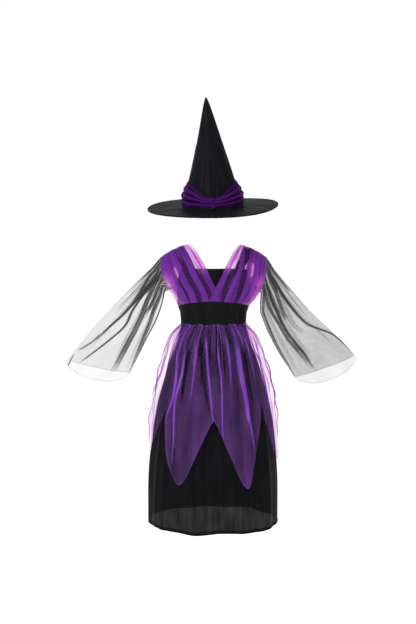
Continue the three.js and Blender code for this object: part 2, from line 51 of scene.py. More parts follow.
def table(columns, *rows):
    """Named columns over rows of numbers. The first column is the key."""
    values = np.array(rows, float)
    return {name: values[:, i] for i, name in enumerate(columns.split())}


def read(rows, column, at):
    """A column of a table at any value of its key, on a smooth curve that never overshoots."""
    key = next(iter(rows.values()))
    out = rows[column]
    if key[-1] < key[0]:
        key, out = key[::-1], out[::-1]
    rise = np.diff(out) / np.diff(key)
    slope = np.concatenate([rise[:1], np.zeros(len(rise) - 1), rise[-1:]])
    product = rise[:-1] * rise[1:]
    total = np.where(product > 0, rise[:-1] + rise[1:], 1)
    slope[1:-1] = np.where(product > 0, 2 * product / total, 0)
    at = np.clip(np.asarray(at, float), key[0], key[-1])
    row = np.clip(np.searchsorted(key, at) - 1, 0, len(key) - 2)
    wide = key[row + 1] - key[row]
    t = (at - key[row]) / wide
    low = out[row] * (1 + 2 * t) * (1 - t) ** 2
    high = out[row + 1] * t * t * (3 - 2 * t)
    return low + high + wide * (slope[row] * t * (1 - t) ** 2 - slope[row + 1] * t * t * (1 - t))


def smooth(low, high, at):
    t = np.clip((at - low) / (high - low), 0, 1)
    return t * t * (3 - 2 * t)


def lerp(a, b, share):
    return a + (b - a) * share


def place(x, y, z):
    return np.stack(np.broadcast_arrays(x, y, z), axis=-1).astype(float)


def unit(vectors):
    return vectors / np.maximum(np.linalg.norm(vectors, axis=-1, keepdims=True), 1e-9)


def outward(surface, u, v, sign=1):
    across = surface(u + STEP, v) - surface(u - STEP, v)
    along = surface(u, v + STEP) - surface(u, v - STEP)
    return sign * unit(np.cross(across, along))


# Heights on the dress, and the sections of its forms, in millimetres
WAIST_Z = -212
SHOULDER_Z = 2
CHEST_FROM_Z = -150
HEM_Z = -764
OVAL_POWER = 2.2
SHOULDER_FLAT, SHOULDER_RUN, SHOULDER_FALL = 70, 73, 34
SHOULDER_BEND, SHOULDER_CROWN = 1.6, 2.5
SEAM = 0.3

TRUNK = table(
    "z half yoke front back",
    (-212, 88.5, 88.5, 70, 66),
    (-185, 90, 90, 71, 66),
    (-160, 97.5, 98.5, 74, 68),
    (-140, 100.5, 118, 78, 70),
    (-105, 102, 143, 82, 72),
    (-60, 104, 152, 84, 74),
    (10, 106, 152, 84, 76),
)
BAND_TOP = table(
    "x front back",
    (0, -147, -157),
    (49, -151, -158),
    (80, -156, -160),
    (98.5, -163, -163),
)
BODICE_TOP = table(
    "turn front back",
    (0, -60, -72),
    (50, -60, -72),
    (58, -63, -75),
    (66, -78, -85),
    (74, -93, -96),
    (82, -102, -103),
    (90, -105, -105),
)
UNDERSKIRT = table(
    "z half front back",
    (-212, 88.5, 70, 66),
    (-271, 105, 83, 80),
    (-314, 122, 96, 93),
    (-356, 134, 106, 103),
    (-437, 156, 121, 119),
    (-523, 169, 131, 129),
    (-671, 178, 137, 136),
    (-764, 178, 139, 138),
)
OVERSKIRT = table(
    "z half front back",
    (-212, 88.5, 70, 66),
    (-215, 89.3, 70.7, 66.7),
    (-223, 98, 79, 75),
    (-236, 111, 90, 87),
    (-251, 121, 98, 95),
    (-297, 138, 112, 109),
    (-361, 154, 125, 122),
    (-414, 168, 134, 131),
    (-462, 172.5, 140, 138),
    (-534, 178, 145, 143),
    (-640, 184, 149, 148),
)

# Lower edge of the overskirt by turn from the front, and the power of the edge to the next row
PETALS = table(
    "turn z bow",
    (-180, -462, 0.77),
    (-152, -632, 0.5),
    (-132, -440, 0.6),
    (-84, -574, 0.6),
    (-47, -433, 0.3),
    (-28, -631, 0.77),
    (0, -458, 0.77),
    (27, -640, 0.9),
    (48, -420, 0.45),
    (84, -612, 0.55),
    (132, -436, 0.5),
    (153, -636, 0.77),
    (180, -462, 0.77),
)
OVERSKIRT_TOP_Z = WAIST_Z - 0.9
TIP_BLUNT = 0.26

# Drapes from the waistband (rise 0) to the shoulder (rise 1): neck edge and arm edge from the middle
DRAPES = {
    -1: table(
        "rise inner outer",
        (0, -18, 96),
        (0.2, -9, 110),
        (0.36, 4, 124),
        (0.64, 24, 137),
        (0.87, 46, 142),
        (1, 62, 143),
    ),
    1: table(
        "rise inner outer",
        (0, -12, 96),
        (0.1, -7, 108),
        (0.31, 10, 126),
        (0.65, 36, 139),
        (0.87, 54, 142),
        (1, 67, 143),
    ),
}
DRAPE_LIFT = table("rise lift", (0, 1.15), (0.12, 2.8), (0.3, 3.8), (0.7, 4.1), (1, 4.1))
CROSSING_FULL, CROSSING_GONE, CROSSING_AT_BAND, CROSSING_ABOVE = 24, 50, 1.7, 5.6

# Sleeves from the armhole (way 0) to the cuff (way 1), as seen from the front
SLEEVES = {
    -1: table(
        "way outer_x outer_z inner_x inner_z depth",
        (0.1, 166, -55, 135, -122, 30),
        (0.3, 219, -104, 142, -158, 33),
        (0.5, 282, -166, 157, -203, 36),
        (0.75, 349, -241, 188, -262, 39),
        (1, 405, -312, 231, -347, 42),
    ),
    1: table(
        "way outer_x outer_z inner_x inner_z depth",
        (0.1, 167, -64, 131, -126, 30),
        (0.3, 217, -120, 130, -170, 33),
        (0.5, 268, -177, 144, -215, 36),
        (0.75, 333, -239, 177, -282, 39),
        (1, 392, -300, 225, -360, 42),
    ),
}
SLEEVE_SET = 0.1
CUFF_DIP_FRONT, CUFF_DIP_BACK = 36, 13
ARMHOLE_LOW_RISE, ARMHOLE_TURN, ARMHOLE_SEAM = 0.42, 115, 1.3
ARMPIT_X, ARMPIT_Z, ARMPIT_SAG = 103.0, -107.5, 4
SHOULDER_STRAP = {"foot": (60, 85), "top": (84, 111)}

# Hat in its own frame: the brim's upper face is at height 0
HAT_PLACE, HAT_PITCH, HAT_ROLL = (-2, 0, 113), 12.4, 2
HAT_HEIGHT, HAT_LEAN = 292, 9
CROWN = table(
    "up radius",
    (0, 84),
    (30, 77),
    (72, 62.5),
    (130, 45),
    (200, 27.8),
    (249, 14.5),
    (283, 4.5),
    (292, 0),
)
BRIM_INNER, BRIM_OUTER, BRIM_CLOTH = 81, 176, 2.0
BRIM_DROOP, BRIM_WAVE, BINDING_WIRE = 4, 1.6, 1.9
SCARF = table(
    "turn low high full",
    (0, 8, 30, 2.0),
    (20, 7, 38, 3.6),
    (45, 5, 57, 5.6),
    (80, 4, 69, 6.6),
    (135, 4, 66, 6.2),
    (180, 5, 60, 5.4),
)
SCARF_REST = 1.3


def oval(turn, z, half, front, back):
    side, fore = np.sin(np.radians(turn)), np.cos(np.radians(turn))
    power = 2 / OVAL_POWER
    x = half * np.sign(side) * np.abs(side) ** power
    return place(x, np.where(fore > 0, -front, back) * np.abs(fore) ** power, z)


def ring(rows, turn, z):
    return oval(turn, z, read(rows, "half", z), read(rows, "front", z), read(rows, "back", z))


def shoulder_z(x):
    out = np.maximum(0, np.abs(x) - SHOULDER_FLAT) / SHOULDER_RUN
    return SHOULDER_Z - SHOULDER_FALL * out**SHOULDER_BEND


def chest_share(x, z):
    rise = np.clip((z - CHEST_FROM_Z) / (shoulder_z(x) - CHEST_FROM_Z), 0, 1)
    return np.sqrt(1 - rise**SHOULDER_CROWN)


def trunk(turn, z):
    form = ring(TRUNK, turn, z)
    form[..., 1] *= chest_share(form[..., 0], z)
    return form


def form_y(x, z, facing, width):
    half = lerp(read(TRUNK, "half", z), read(TRUNK, "yoke", z), width)
    depth = np.where(facing < 0, read(TRUNK, "front", z), read(TRUNK, "back", z))
    share = np.maximum(0, 1 - (np.abs(x) / half) ** OVAL_POWER) ** (1 / OVAL_POWER)
    return facing * depth * share * chest_share(x, z)


def band_top(x, facing):
    away = np.abs(x)
    return np.where(facing < 0, read(BAND_TOP, "front", away), read(BAND_TOP, "back", away))


def bodice_top(turn, facing):
    away = np.abs((turn + 180) % 360 - 180)
    away = np.where(away > 90, 180 - away, away)
    return np.where(facing < 0, read(BODICE_TOP, "front", away), read(BODICE_TOP, "back", away))


def turn_of_x(x, z):
    share = np.abs(x) / read(TRUNK, "half", z)
    return np.degrees(np.arcsin(np.minimum(1, share ** (OVAL_POWER / 2))))


def half_turn(facing, u):
    return (-90 if facing < 0 else 90) + 180 * u


def blunted(share):
    """The share of the way from a tip to the next valley, flat over the tip itself."""
    return (np.hypot(share, TIP_BLUNT) - TIP_BLUNT) / (math.hypot(1, TIP_BLUNT) - TIP_BLUNT)


def petal_edge(turn):
    around = (turn + 180) % 360 - 180
    row = np.clip(np.searchsorted(PETALS["turn"], around, side="left") - 1, 0, len(PETALS["turn"]) - 2)
    turns, heights = PETALS["turn"], PETALS["z"]
    share = np.clip((around - turns[row]) / (turns[row + 1] - turns[row]), 0, 1)
    falls = heights[row] > heights[row + 1]
    valley = np.where(falls, heights[row], heights[row + 1])
    tip = np.where(falls, heights[row + 1], heights[row])
    keep_middle = math.log(0.5) / math.log(1 - blunted(0.5))
    down = 1 - blunted(np.where(falls, 1 - share, share))
    return valley + (tip - valley) * down ** (PETALS["bow"][row] * keep_middle)


def drape_form(side, share, way):
    facing = np.where(way < 0, -1, 1)
    rise = 1 - way * way
    inner, outer = read(DRAPES[side], "inner", rise), read(DRAPES[side], "outer", rise)
    x = inner + (outer - inner) * share
    low = band_top(x, facing) + SEAM
    z = low + (shoulder_z(x) - low) * rise
    return place(side * x, form_y(x, z, facing, 1), z)


def drape_lifted(side, share, way, more=0):
    """The drape's surface on its form, with more millimetres of lift."""

    def form(u, v):
        return drape_form(side, u, v)

    rise = 1 - way * way
    flat = form(share, way)
    lift = read(DRAPE_LIFT, "lift", rise) + more
    if side > 0:
        over = 1 - smooth(CROSSING_FULL, CROSSING_GONE, flat[..., 0])
        lift = lift + over * lerp(CROSSING_AT_BAND, CROSSING_ABOVE, smooth(0, 0.25, rise))
    return flat + outward(form, share, way, side) * lift[..., None]


def armhole(side, turn):
    around = (turn + 180) % 360 - 180
    facing = np.where(around < 0, 1, -1)
    away = np.abs(around)
    way = facing * math.sqrt(1 - ARMHOLE_LOW_RISE) * np.minimum(1, away / ARMHOLE_TURN)
    edge = drape_lifted(side, np.ones_like(way), way)
    inside = drape_lifted(side, np.full_like(way, 0.99), way)
    seam = edge + unit(edge - inside) * ARMHOLE_SEAM
    under = np.maximum(0, away - ARMHOLE_TURN) / (180 - ARMHOLE_TURN) * (math.pi / 2)
    x = lerp(np.abs(seam[..., 0]), ARMPIT_X, np.sin(under) ** 2)
    z = lerp(seam[..., 2], ARMPIT_Z, np.sin(under)) - ARMPIT_SAG * np.sin(2 * under)
    return place(side * x, seam[..., 1] * np.cos(under), z)


def sleeve_ring(side, turn, way):
    rows = SLEEVES[side]
    columns = ("outer_x", "outer_z", "inner_x", "inner_z", "depth")
    outer_x, outer_z, inner_x, inner_z, depth = (read(rows, name, way) for name in columns)
    outer = place(side * outer_x, 0, outer_z)
    inner = place(side * inner_x, 0, inner_z)
    middle = (outer + inner) / 2
    lean = outer - middle
    fore = np.sin(np.radians(turn))
    form = middle + lean * np.cos(np.radians(turn))[..., None]
    form[..., 1] = -depth * fore
    down = unit(place(-lean[..., 2] * side, 0, lean[..., 0] * side))
    down = down * np.where(down[..., 2:] > 0, -1, 1)
    dip = np.where(fore > 0, CUFF_DIP_FRONT, CUFF_DIP_BACK) * np.abs(fore) * np.maximum(0, way) ** 3
    return form + down * dip[..., None]


def sleeve_form(side, turn, way):
    joined = smooth(0, SLEEVE_SET, way)[..., None]
    return lerp(armhole(side, turn), sleeve_ring(side, turn, np.maximum(way, SLEEVE_SET)), joined)


def hat_lean(up):
    return -HAT_LEAN * (np.maximum(0, up) / HAT_HEIGHT) ** 2


def hat_world(points):
    """From the hat's own frame to the costume's."""
    pitch, roll = math.radians(HAT_PITCH), math.radians(-HAT_ROLL)
    turn_x = np.array([[1, 0, 0], [0, math.cos(pitch), -math.sin(pitch)], [0, math.sin(pitch), math.cos(pitch)]])
    turn_y = np.array([[math.cos(roll), 0, math.sin(roll)], [0, 1, 0], [-math.sin(roll), 0, math.cos(roll)]])
    return points @ (turn_y @ turn_x).T + np.array(HAT_PLACE)


def on_hat(turn, up, radius):
    x = radius * np.sin(np.radians(turn)) + hat_lean(up)
    return place(x, -radius * np.cos(np.radians(turn)), up)


def brim_shift(points):
    radius = np.hypot(points[..., 0], points[..., 1])
    reach = np.maximum(0, (radius - CROWN["radius"][0]) / (BRIM_OUTER - CROWN["radius"][0])) ** 1.5
    fore = points[..., 1] / radius
    around = np.arctan2(points[..., 0], -points[..., 1])
    points[..., 2] += reach * (BRIM_WAVE * np.cos(3 * around + 1) - BRIM_DROOP * fore * fore)
    return points


def folds(*rows):
    """Folds placed one by one, each with its path as (along, across) points, its half width in mm at
    the start and the end, its height in mm (a trough is negative), the cloth layers that it adds
    over its width, and those that it adds along its two edges."""
    names = ("path", "half", "half_end", "deep", "layers", "edges")
    return [dict(zip(names, row)) for row in rows]


def lay_folds(rows, across, along, spread, halo=0, fade=1):
    """Adds up folds. spread is the millimetres for one unit across at each point. Gives the
    height in mm and the added cloth layers. halo is the share of the layers around each fold, and fade how
    softly it starts."""
    deep = np.zeros(np.broadcast(across, along).shape)
    layers = deep.copy()
    for row in rows:
        path = np.array(sorted(row["path"]), float)
        first, last = path[0, 0], path[-1, 0]
        centre = read({"along": path[:, 0], "across": path[:, 1]}, "across", along)
        share = np.clip((along - first) / (last - first), 0, 1)
        half = lerp(row["half"], row["half_end"], share)
        soft = 0.12 * (last - first)
        within = smooth(first - 0.3 * soft, first + fade * soft, along) * (1 - smooth(last - 2 * soft, last, along))
        away = np.abs(across - centre) * spread
        round_top = np.exp(-((away / half) ** 2))
        flat_top = 1 - smooth(half * 0.8, half * 1.25 + 0.6, away)
        edge = np.exp(-(((away - half) / EDGE_HALF) ** 2))
        deep += row["deep"] * round_top * within
        around = halo * np.exp(-((away / (HALO_REACH * half)) ** 2))
        layers += (row["layers"] * (flat_top + around) + row["edges"] * edge) * within
    return deep, layers


EDGE_HALF = 1.6
HALO_REACH = 2.6


def spread_of(points, across):
    """Millimetres on the surface for one unit of the across value."""
    step = np.linalg.norm(np.gradient(points, axis=0), axis=-1)
    return step / np.abs(np.gradient(across, axis=0))


def crinkles(across, along, count, rng, reach, half, deep, layers):
    """Fine gathers at random places, each with its own reach, width and height, from where along
    is 0. across runs from 0 to 1, and half is a share of it. A ridge adds cloth layers and a
    trough has fewer."""
    height = np.zeros(np.broadcast(across, along).shape)
    more = height.copy()
    for centre in (np.arange(count) + rng.uniform(-0.35, 0.35, count)) / count:
        far, wide, tall = rng.uniform(*reach), rng.uniform(*half), rng.uniform(*deep)
        drift = rng.uniform(-1.5, 1.5) * wide
        away = np.abs(across - centre - drift * along / far)
        away = np.minimum(away, np.abs(away - 1))
        bump = np.exp(-((away / (wide * (0.6 + 0.8 * along / far))) ** 2)) * (1 - smooth(0.3 * far, far, along))
        height += tall * bump
        more += layers * tall / max(deep) * bump
    return height, more


def mesh_of(name, points, flat, loop=False, flip=False, **marks):
    """A smooth mesh over a grid of points (across, along, xyz) in mm, with a UV map in metres of
    the flat cloth. marks go to its points: how many layers of sheer cloth lie there, and how pale
    it is."""
    columns, rows = points.shape[:2]
    index = np.arange(columns * rows).reshape(columns, rows)
    if loop:
        index = np.vstack([index, index[:1]])
    wide, high = index.shape
    i, j = np.meshgrid(np.arange(wide - 1), np.arange(high - 1), indexing="ij")
    corners = [(0, 0), (1, 0), (1, 1), (0, 1)]
    if flip:
        corners = corners[::-1]
    quads = np.stack([index[i + a, j + b] for a, b in corners], -1).reshape(-1, 4)
    u = np.stack([(i + a) / (wide - 1) * flat[0] for a, b in corners], -1).reshape(-1)
    v = np.stack([(j + b) / (high - 1) * flat[1] for a, b in corners], -1).reshape(-1)
    mesh = bpy.data.meshes.new(name)
    mesh.from_pydata((points.reshape(-1, 3) * MM).tolist(), [], quads.tolist())
    mesh.shade_smooth()
    mesh.uv_layers.new(name="Cloth").data.foreach_set("uv", np.stack([u, v], -1).reshape(-1))
    for mark, amount in marks.items():
        values = np.broadcast_to(amount, (columns, rows)).reshape(-1).astype(np.float32)
        mesh.attributes.new(mark, "FLOAT", "POINT").data.foreach_set("value", values)
    return mesh


def piece(mesh, material, nodes=(), thick=0):
    """Puts a mesh in the scene as a part of the costume, standing for the CAD nodes it replaces."""
    made = bpy.data.objects.new(mesh.name, mesh)
    bpy.context.scene.collection.objects.link(made)
    mesh.materials.append(material)
    if thick:
        wall = made.modifiers.new("Cloth thickness", "SOLIDIFY")
        wall.thickness = thick * MM
        wall.offset = 0
    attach(made, "root")
    if nodes:
        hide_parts(*nodes)
    return made


def fractions(across, along, loop=False):
    u = np.arange(across) / across if loop else np.linspace(0, 1, across + 1)
    return np.meshgrid(u, np.linspace(0, 1, along + 1), indexing="ij")


STITCH, STITCH_STEP, STITCH_HALF, STITCH_RISE = 2.8, 4.0, 0.28, 0.3


def stitch_row(name, line, out):
    """A row of straight stitches along a line of points in mm. out points away from the cloth."""
    run = np.linalg.norm(np.diff(line, axis=0), axis=-1)
    reach = np.concatenate([[0], np.cumsum(run)])
    starts = np.arange(0.5, reach[-1] - STITCH, STITCH_STEP)

    def at(values, where):
        return np.stack([np.interp(where, reach, values[:, k]) for k in range(3)], -1)

    first, last, up = at(line, starts), at(line, starts + STITCH), unit(at(out, starts + STITCH / 2))
    side = np.cross(unit(last - first), up) * STITCH_HALF
    ends = [first - 0.1 * up, first + side, first - side, last - 0.1 * up, last + side, last - side]
    ridge = [(first * 3 + last) / 4 + up * STITCH_RISE, (first + last * 3) / 4 + up * STITCH_RISE]
    points = np.stack(ends + ridge, axis=1)
    base = np.arange(len(starts))[:, None] * points.shape[1]
    faces = [(1, 4, 7, 6), (5, 2, 6, 7)]
    tips = [(0, 1, 6), (2, 0, 6), (4, 3, 7), (3, 5, 7)]
    quads = (base[:, None] + np.array(faces)).reshape(-1, 4).tolist()
    triangles = (base[:, None] + np.array(tips)).reshape(-1, 3).tolist()
    mesh = bpy.data.meshes.new(name)
    mesh.from_pydata((points.reshape(-1, 3) * MM).tolist(), [], quads + triangles)
    mesh.shade_smooth()
    return piece(mesh, THREAD)


# Materials

THREAD_WAVE = 20 / (2 * math.pi)


def new_material(name):
    material = bpy.data.materials.new(name)
    material.use_nodes = True
    material.node_tree.nodes.clear()
    return material, material.node_tree


def add(tree, kind, inputs=None, **settings):
    made = tree.nodes.new(kind)
    for name, value in settings.items():
        setattr(made, name, value)
    for key, value in (inputs or {}).items():
        if isinstance(value, bpy.types.NodeSocket):
            tree.links.new(value, made.inputs[key])
        else:
            made.inputs[key].default_value = value
    return made


def maths(tree, operation, *values):
    return add(tree, "ShaderNodeMath", dict(enumerate(values)), operation=operation).outputs[0]


def noise(tree, vector, scale, detail=2.0, rough=0.5):
    inputs = {"Vector": vector, "Scale": scale, "Detail": detail, "Roughness": rough}
    return add(tree, "ShaderNodeTexNoise", inputs).outputs["Fac"]


def stretched(tree, vector, x, y, z=1.0):
    return add(tree, "ShaderNodeMapping", {"Vector": vector, "Scale": (x, y, z)}).outputs[0]


def threads(tree, vector, direction, pitch):
    """Bands one thread apart, from 0 between threads to 1 on them. pitch is in metres."""
    inputs = {"Vector": vector, "Scale": 1 / (pitch * THREAD_WAVE) / 1.0, "Distortion": 0.0}
    settings = {"wave_type": "BANDS", "bands_direction": direction}
    return add(tree, "ShaderNodeTexWave", inputs, **settings).outputs["Fac"]


def mapped(tree, value, low, high, to_low, to_high):
    inputs = {"Value": value, 1: low, 2: high, 3: to_low, 4: to_high}
    return add(tree, "ShaderNodeMapRange", inputs).outputs[0]


def mixed(tree, share, first, second):
    mix = add(tree, "ShaderNodeMix", {0: share}, data_type="RGBA")
    sockets = [socket for socket in mix.inputs if socket.type == "RGBA"]
    for socket, colour in zip(sockets, (first, second)):
        if isinstance(colour, bpy.types.NodeSocket):
            tree.links.new(colour, socket)
        else:
            socket.default_value = (*colour, 1)
    return [socket for socket in mix.outputs if socket.type == "RGBA"][0]


def finish_material(tree, shader):
    add(tree, "ShaderNodeOutputMaterial", {"Surface": shader})


def satin_material(name, colour, painted_sheen, rough=0.46, see=0.0, shine=0.04):
    """Black polyester satin: fine weave, long soft streaks of sheen, and cloudy creasing. Along both the roughness
    falls, which is real sheen, and the base colour turns lighter, which is painted sheen.
    """
    material, tree = new_material(name)
    cloth = add(tree, "ShaderNodeUVMap", uv_map="Cloth").outputs[0]
    warp = threads(tree, cloth, "X", 0.0005)
    weft = threads(tree, cloth, "Y", 0.0007)
    weave = maths(tree, "ADD", maths(tree, "MULTIPLY", warp, 0.6), maths(tree, "MULTIPLY", weft, 0.4))
    streak = noise(tree, stretched(tree, cloth, 90, 7), 1.0, 3.0)
    cloud = noise(tree, stretched(tree, cloth, 22, 12), 1.0, 3.0, 0.6)
    # Painted sheen: along the streaks and clouds the base colour turns towards the lighter painted sheen colour; the
    # lower roughness there is real sheen.
    sheen_streaks = mapped(tree, maths(tree, "ADD", streak, cloud), 0.7, 1.3, 0.0, 1.0)
    base_colour = mixed(tree, sheen_streaks, colour, painted_sheen)
    roughness = mapped(tree, sheen_streaks, 0.0, 1.0, rough + 0.08, rough - 0.06)
    bumps = maths(tree, "ADD", maths(tree, "MULTIPLY", weave, 0.15), maths(tree, "MULTIPLY", cloud, 1.6))
    bump = add(tree, "ShaderNodeBump", {"Height": bumps, "Strength": 0.35, "Distance": 0.0006})
    shader = add(
        tree,
        "ShaderNodeBsdfPrincipled",
        {
            "Base Color": base_colour,
            "Roughness": roughness,
            "Normal": bump.outputs[0],
            "Specular IOR Level": shine,
            "Sheen Weight": 0.006,
            "Sheen Roughness": 0.4,
            "Sheen Tint": (0.8, 0.82, 0.9, 1),
        },
    ).outputs[0]
    if see:
        layers = add(tree, "ShaderNodeAttribute", attribute_name="layers").outputs["Fac"]
        uneven = maths(tree, "MULTIPLY", see, mapped(tree, sheen_streaks, 0.0, 1.0, 0.3, 2.0))
        open_share = maths(tree, "POWER", uneven, layers)
        clear = add(tree, "ShaderNodeBsdfTransparent").outputs[0]
        shader = add(tree, "ShaderNodeMixShader", {0: open_share, 1: shader, 2: clear}).outputs[0]
    finish_material(tree, shader)
    return material


def sheer_material(name, thin, colour, pass_colour, through, grain_pitch, sparkle, shine, pale=None):
    """Sheer purple cloth, greyer where it is thin: a painted grey sheen. through is the share of light that passes one
    layer, and pass_colour the tint it takes. Each point's layers attribute says how many layers lie there."""
    material, tree = new_material(name)
    cloth = add(tree, "ShaderNodeUVMap", uv_map="Cloth").outputs[0]
    layers = add(tree, "ShaderNodeAttribute", attribute_name="layers").outputs["Fac"]
    grain = noise(tree, cloth, 1 / grain_pitch, 1.0, 0.6)
    slub = noise(tree, stretched(tree, cloth, 240, 11), 1.0, 3.0)
    uneven = maths(tree, "ADD", mapped(tree, grain, 0.3, 0.7, 0.86, 1.12), mapped(tree, slub, 0.3, 0.7, -0.34, 0.34))
    many = maths(tree, "MULTIPLY", layers, uneven)
    open_share = maths(tree, "POWER", through, many)
    passed = [maths(tree, "POWER", channel, many) for channel in pass_colour]
    tint = add(tree, "ShaderNodeCombineColor", {"Red": passed[0], "Green": passed[1], "Blue": passed[2]})
    clear = add(tree, "ShaderNodeBsdfTransparent", {"Color": tint.outputs[0]}).outputs[0]
    # Painted sparkle: fine specks, in patches, lighten the colour towards a paler purple.
    speck = noise(tree, cloth, 1 / 0.0011, 0.0)
    patch = noise(tree, stretched(tree, cloth, 34, 12), 1.0, 2.0)
    shimmer = mapped(tree, patch, 0.45, 0.66, 0.08, 1.0)
    painted_sparkle = maths(tree, "MULTIPLY", mapped(tree, speck, 0.44, 0.72, 0.0, sparkle), shimmer)
    sparkle_colour = tuple(min(1.0, c * 1.6 + 0.13) for c in colour)
    # Painted grey sheen: where few layers lie, the colour turns to the greyer thin colour.
    deep = mixed(tree, mapped(tree, layers, 1.0, 3.0, 0.0, 1.0), thin, colour)
    if pale:
        strip = add(tree, "ShaderNodeAttribute", attribute_name="pale").outputs["Fac"]
        deep = mixed(tree, strip, deep, pale)
    coloured = mixed(tree, painted_sparkle, deep, sparkle_colour)
    warp = threads(tree, cloth, "X", 0.0006)
    weft = threads(tree, cloth, "Y", 0.0006)
    height = maths(tree, "ADD", maths(tree, "ADD", warp, weft), maths(tree, "MULTIPLY", grain, 1.5))
    bump = add(tree, "ShaderNodeBump", {"Height": height, "Strength": 0.3, "Distance": 0.0003})
    solid = add(
        tree,
        "ShaderNodeBsdfPrincipled",
        {
            "Base Color": coloured,
            "Roughness": 0.5,
            "Normal": bump.outputs[0],
            "Specular IOR Level": shine,
            "Sheen Weight": 0.2 * shine,
            "Sheen Roughness": 0.35,
            "Sheen Tint": (0.8, 0.5, 1.0, 1),
        },
    ).outputs[0]
    shader = add(tree, "ShaderNodeMixShader", {0: open_share, 1: solid, 2: clear}).outputs[0]
    finish_material(tree, shader)
    return material


def net_material(name, through):
    """Black net: crossing threads with open holes, denser where layers lie on each other."""
    material, tree = new_material(name)
    cloth = add(tree, "ShaderNodeUVMap", uv_map="Cloth").outputs[0]
    layers = add(tree, "ShaderNodeAttribute", attribute_name="layers").outputs["Fac"]
    lean = add(tree, "ShaderNodeMapping", {"Vector": cloth, "Rotation": (0, 0, math.radians(32))}).outputs[0]
    back = add(tree, "ShaderNodeMapping", {"Vector": cloth, "Rotation": (0, 0, math.radians(-32))}).outputs[0]
    lines = maths(tree, "MAXIMUM", threads(tree, lean, "X", 0.0016), threads(tree, back, "X", 0.0016))
    patch = noise(tree, stretched(tree, cloth, 25, 10), 1.0, 2.0)
    hole = mapped(tree, lines, 0.55, 0.98, 0.35, 2.3)
    many = maths(tree, "MULTIPLY", maths(tree, "MULTIPLY", layers, hole), mapped(tree, patch, 0.3, 0.7, 0.8, 1.2))
    open_share = maths(tree, "POWER", through, many)
    bump = add(tree, "ShaderNodeBump", {"Height": lines, "Strength": 0.4, "Distance": 0.0003})
    solid = add(
        tree,
        "ShaderNodeBsdfPrincipled",
        {
            "Base Color": (0.012, 0.012, 0.013, 1),
            "Roughness": 0.6,
            "Normal": bump.outputs[0],
            "Specular IOR Level": 0.25,
        },
    ).outputs[0]
    clear = add(tree, "ShaderNodeBsdfTransparent").outputs[0]
    shader = add(tree, "ShaderNodeMixShader", {0: open_share, 1: solid, 2: clear}).outputs[0]
    finish_material(tree, shader)
    return material


# The second colour of each satin is its painted sheen, the lighter colour that its streaks turn to.
BLACK = satin_material("Black satin", (0.0025, 0.0025, 0.003), (0.007, 0.007, 0.008))
SKIRT_SATIN = satin_material(
    "Black skirt satin", (0.002, 0.002, 0.0025), (0.005, 0.005, 0.006), rough=0.62, see=0.013
)
HAT_SATIN = satin_material(
    "Hat satin", (0.0036, 0.0036, 0.0048), (0.009, 0.009, 0.0115), rough=0.42, shine=0.022
)
# The first colour of each sheer cloth is the greyer one where it is thin, a painted grey sheen.
ORGANZA = sheer_material(
    "Purple organza", (0.13, 0.046, 0.225), (0.19, 0.04, 0.43), (0.95, 0.70, 0.95), 0.74, 0.004, 0.65, 0.22
)
TULLE = sheer_material(
    "Purple tulle", (0.10, 0.024, 0.175), (0.122, 0.021, 0.25), (0.95, 0.62, 0.97), 0.68, 0.003, 0.15, 0.08,
    pale=(0.46, 0.13, 0.52),
)
SCARF_TULLE = sheer_material(
    "Dark purple tulle", (0.02, 0.003, 0.04), (0.05, 0.005, 0.1), (0.8, 0.4, 0.8), 0.7, 0.003, 0.1, 0.03
)
NET = net_material("Black net", 0.86)
THREAD = satin_material("Black thread", (0.008, 0.008, 0.009), (0.014, 0.014, 0.016), rough=0.6)


# Dress


def bodice(word, facing):
    u, v = fractions(120, 40)

    def surface(u, v):
        turn = half_turn(facing, u)
        low = band_top(trunk(turn, CHEST_FROM_Z)[..., 0], facing) + SEAM
        return trunk(turn, low + (bodice_top(turn, facing) - low) * v)

    points = surface(u, v) - outward(surface, u, v) * 0.7
    mesh = mesh_of(f"bodice_{word}_cloth", points, (0.33, 0.1))
    hem_row = np.abs(v[0] - 0.86).argmin()
    line, out = points[:, hem_row], outward(surface, u, v)[:, hem_row]
    stitch_row(f"bodice_{word}_stitches", line + 0.45 * out, out)
    made = piece(mesh, BLACK, [f"bodice_{word}"], thick=0.8)
    return made


def shoulder_strap(word, side):
    u, v = fractions(12, 80)

    def surface(u, v):
        way = 2 * v - 1
        facing = np.where(way < 0, -1, 1)
        rise = 1 - way * way
        share = u if side > 0 else 1 - u
        foot, top = lerp(*SHOULDER_STRAP["foot"], share), lerp(*SHOULDER_STRAP["top"], share)
        x = lerp(foot, top, smooth(0, 1, rise))
        edge = np.where(facing < 0, BODICE_TOP["front"][0], BODICE_TOP["back"][0])
        foot_z = bodice_top(turn_of_x(foot, edge), facing) + 2 * SEAM
        z = foot_z + (shoulder_z(x) - foot_z) * rise
        return place(side * x, form_y(x, z, facing, smooth(0, 0.9, rise)), z)

    points = surface(u, v) - outward(surface, u, v) * 1.0
    mesh = mesh_of(f"shoulder_strap_{word}_cloth", points, (0.027, 0.2))
    made = piece(mesh, BLACK, [f"shoulder_strap_{word}"], thick=0.8)
    return made


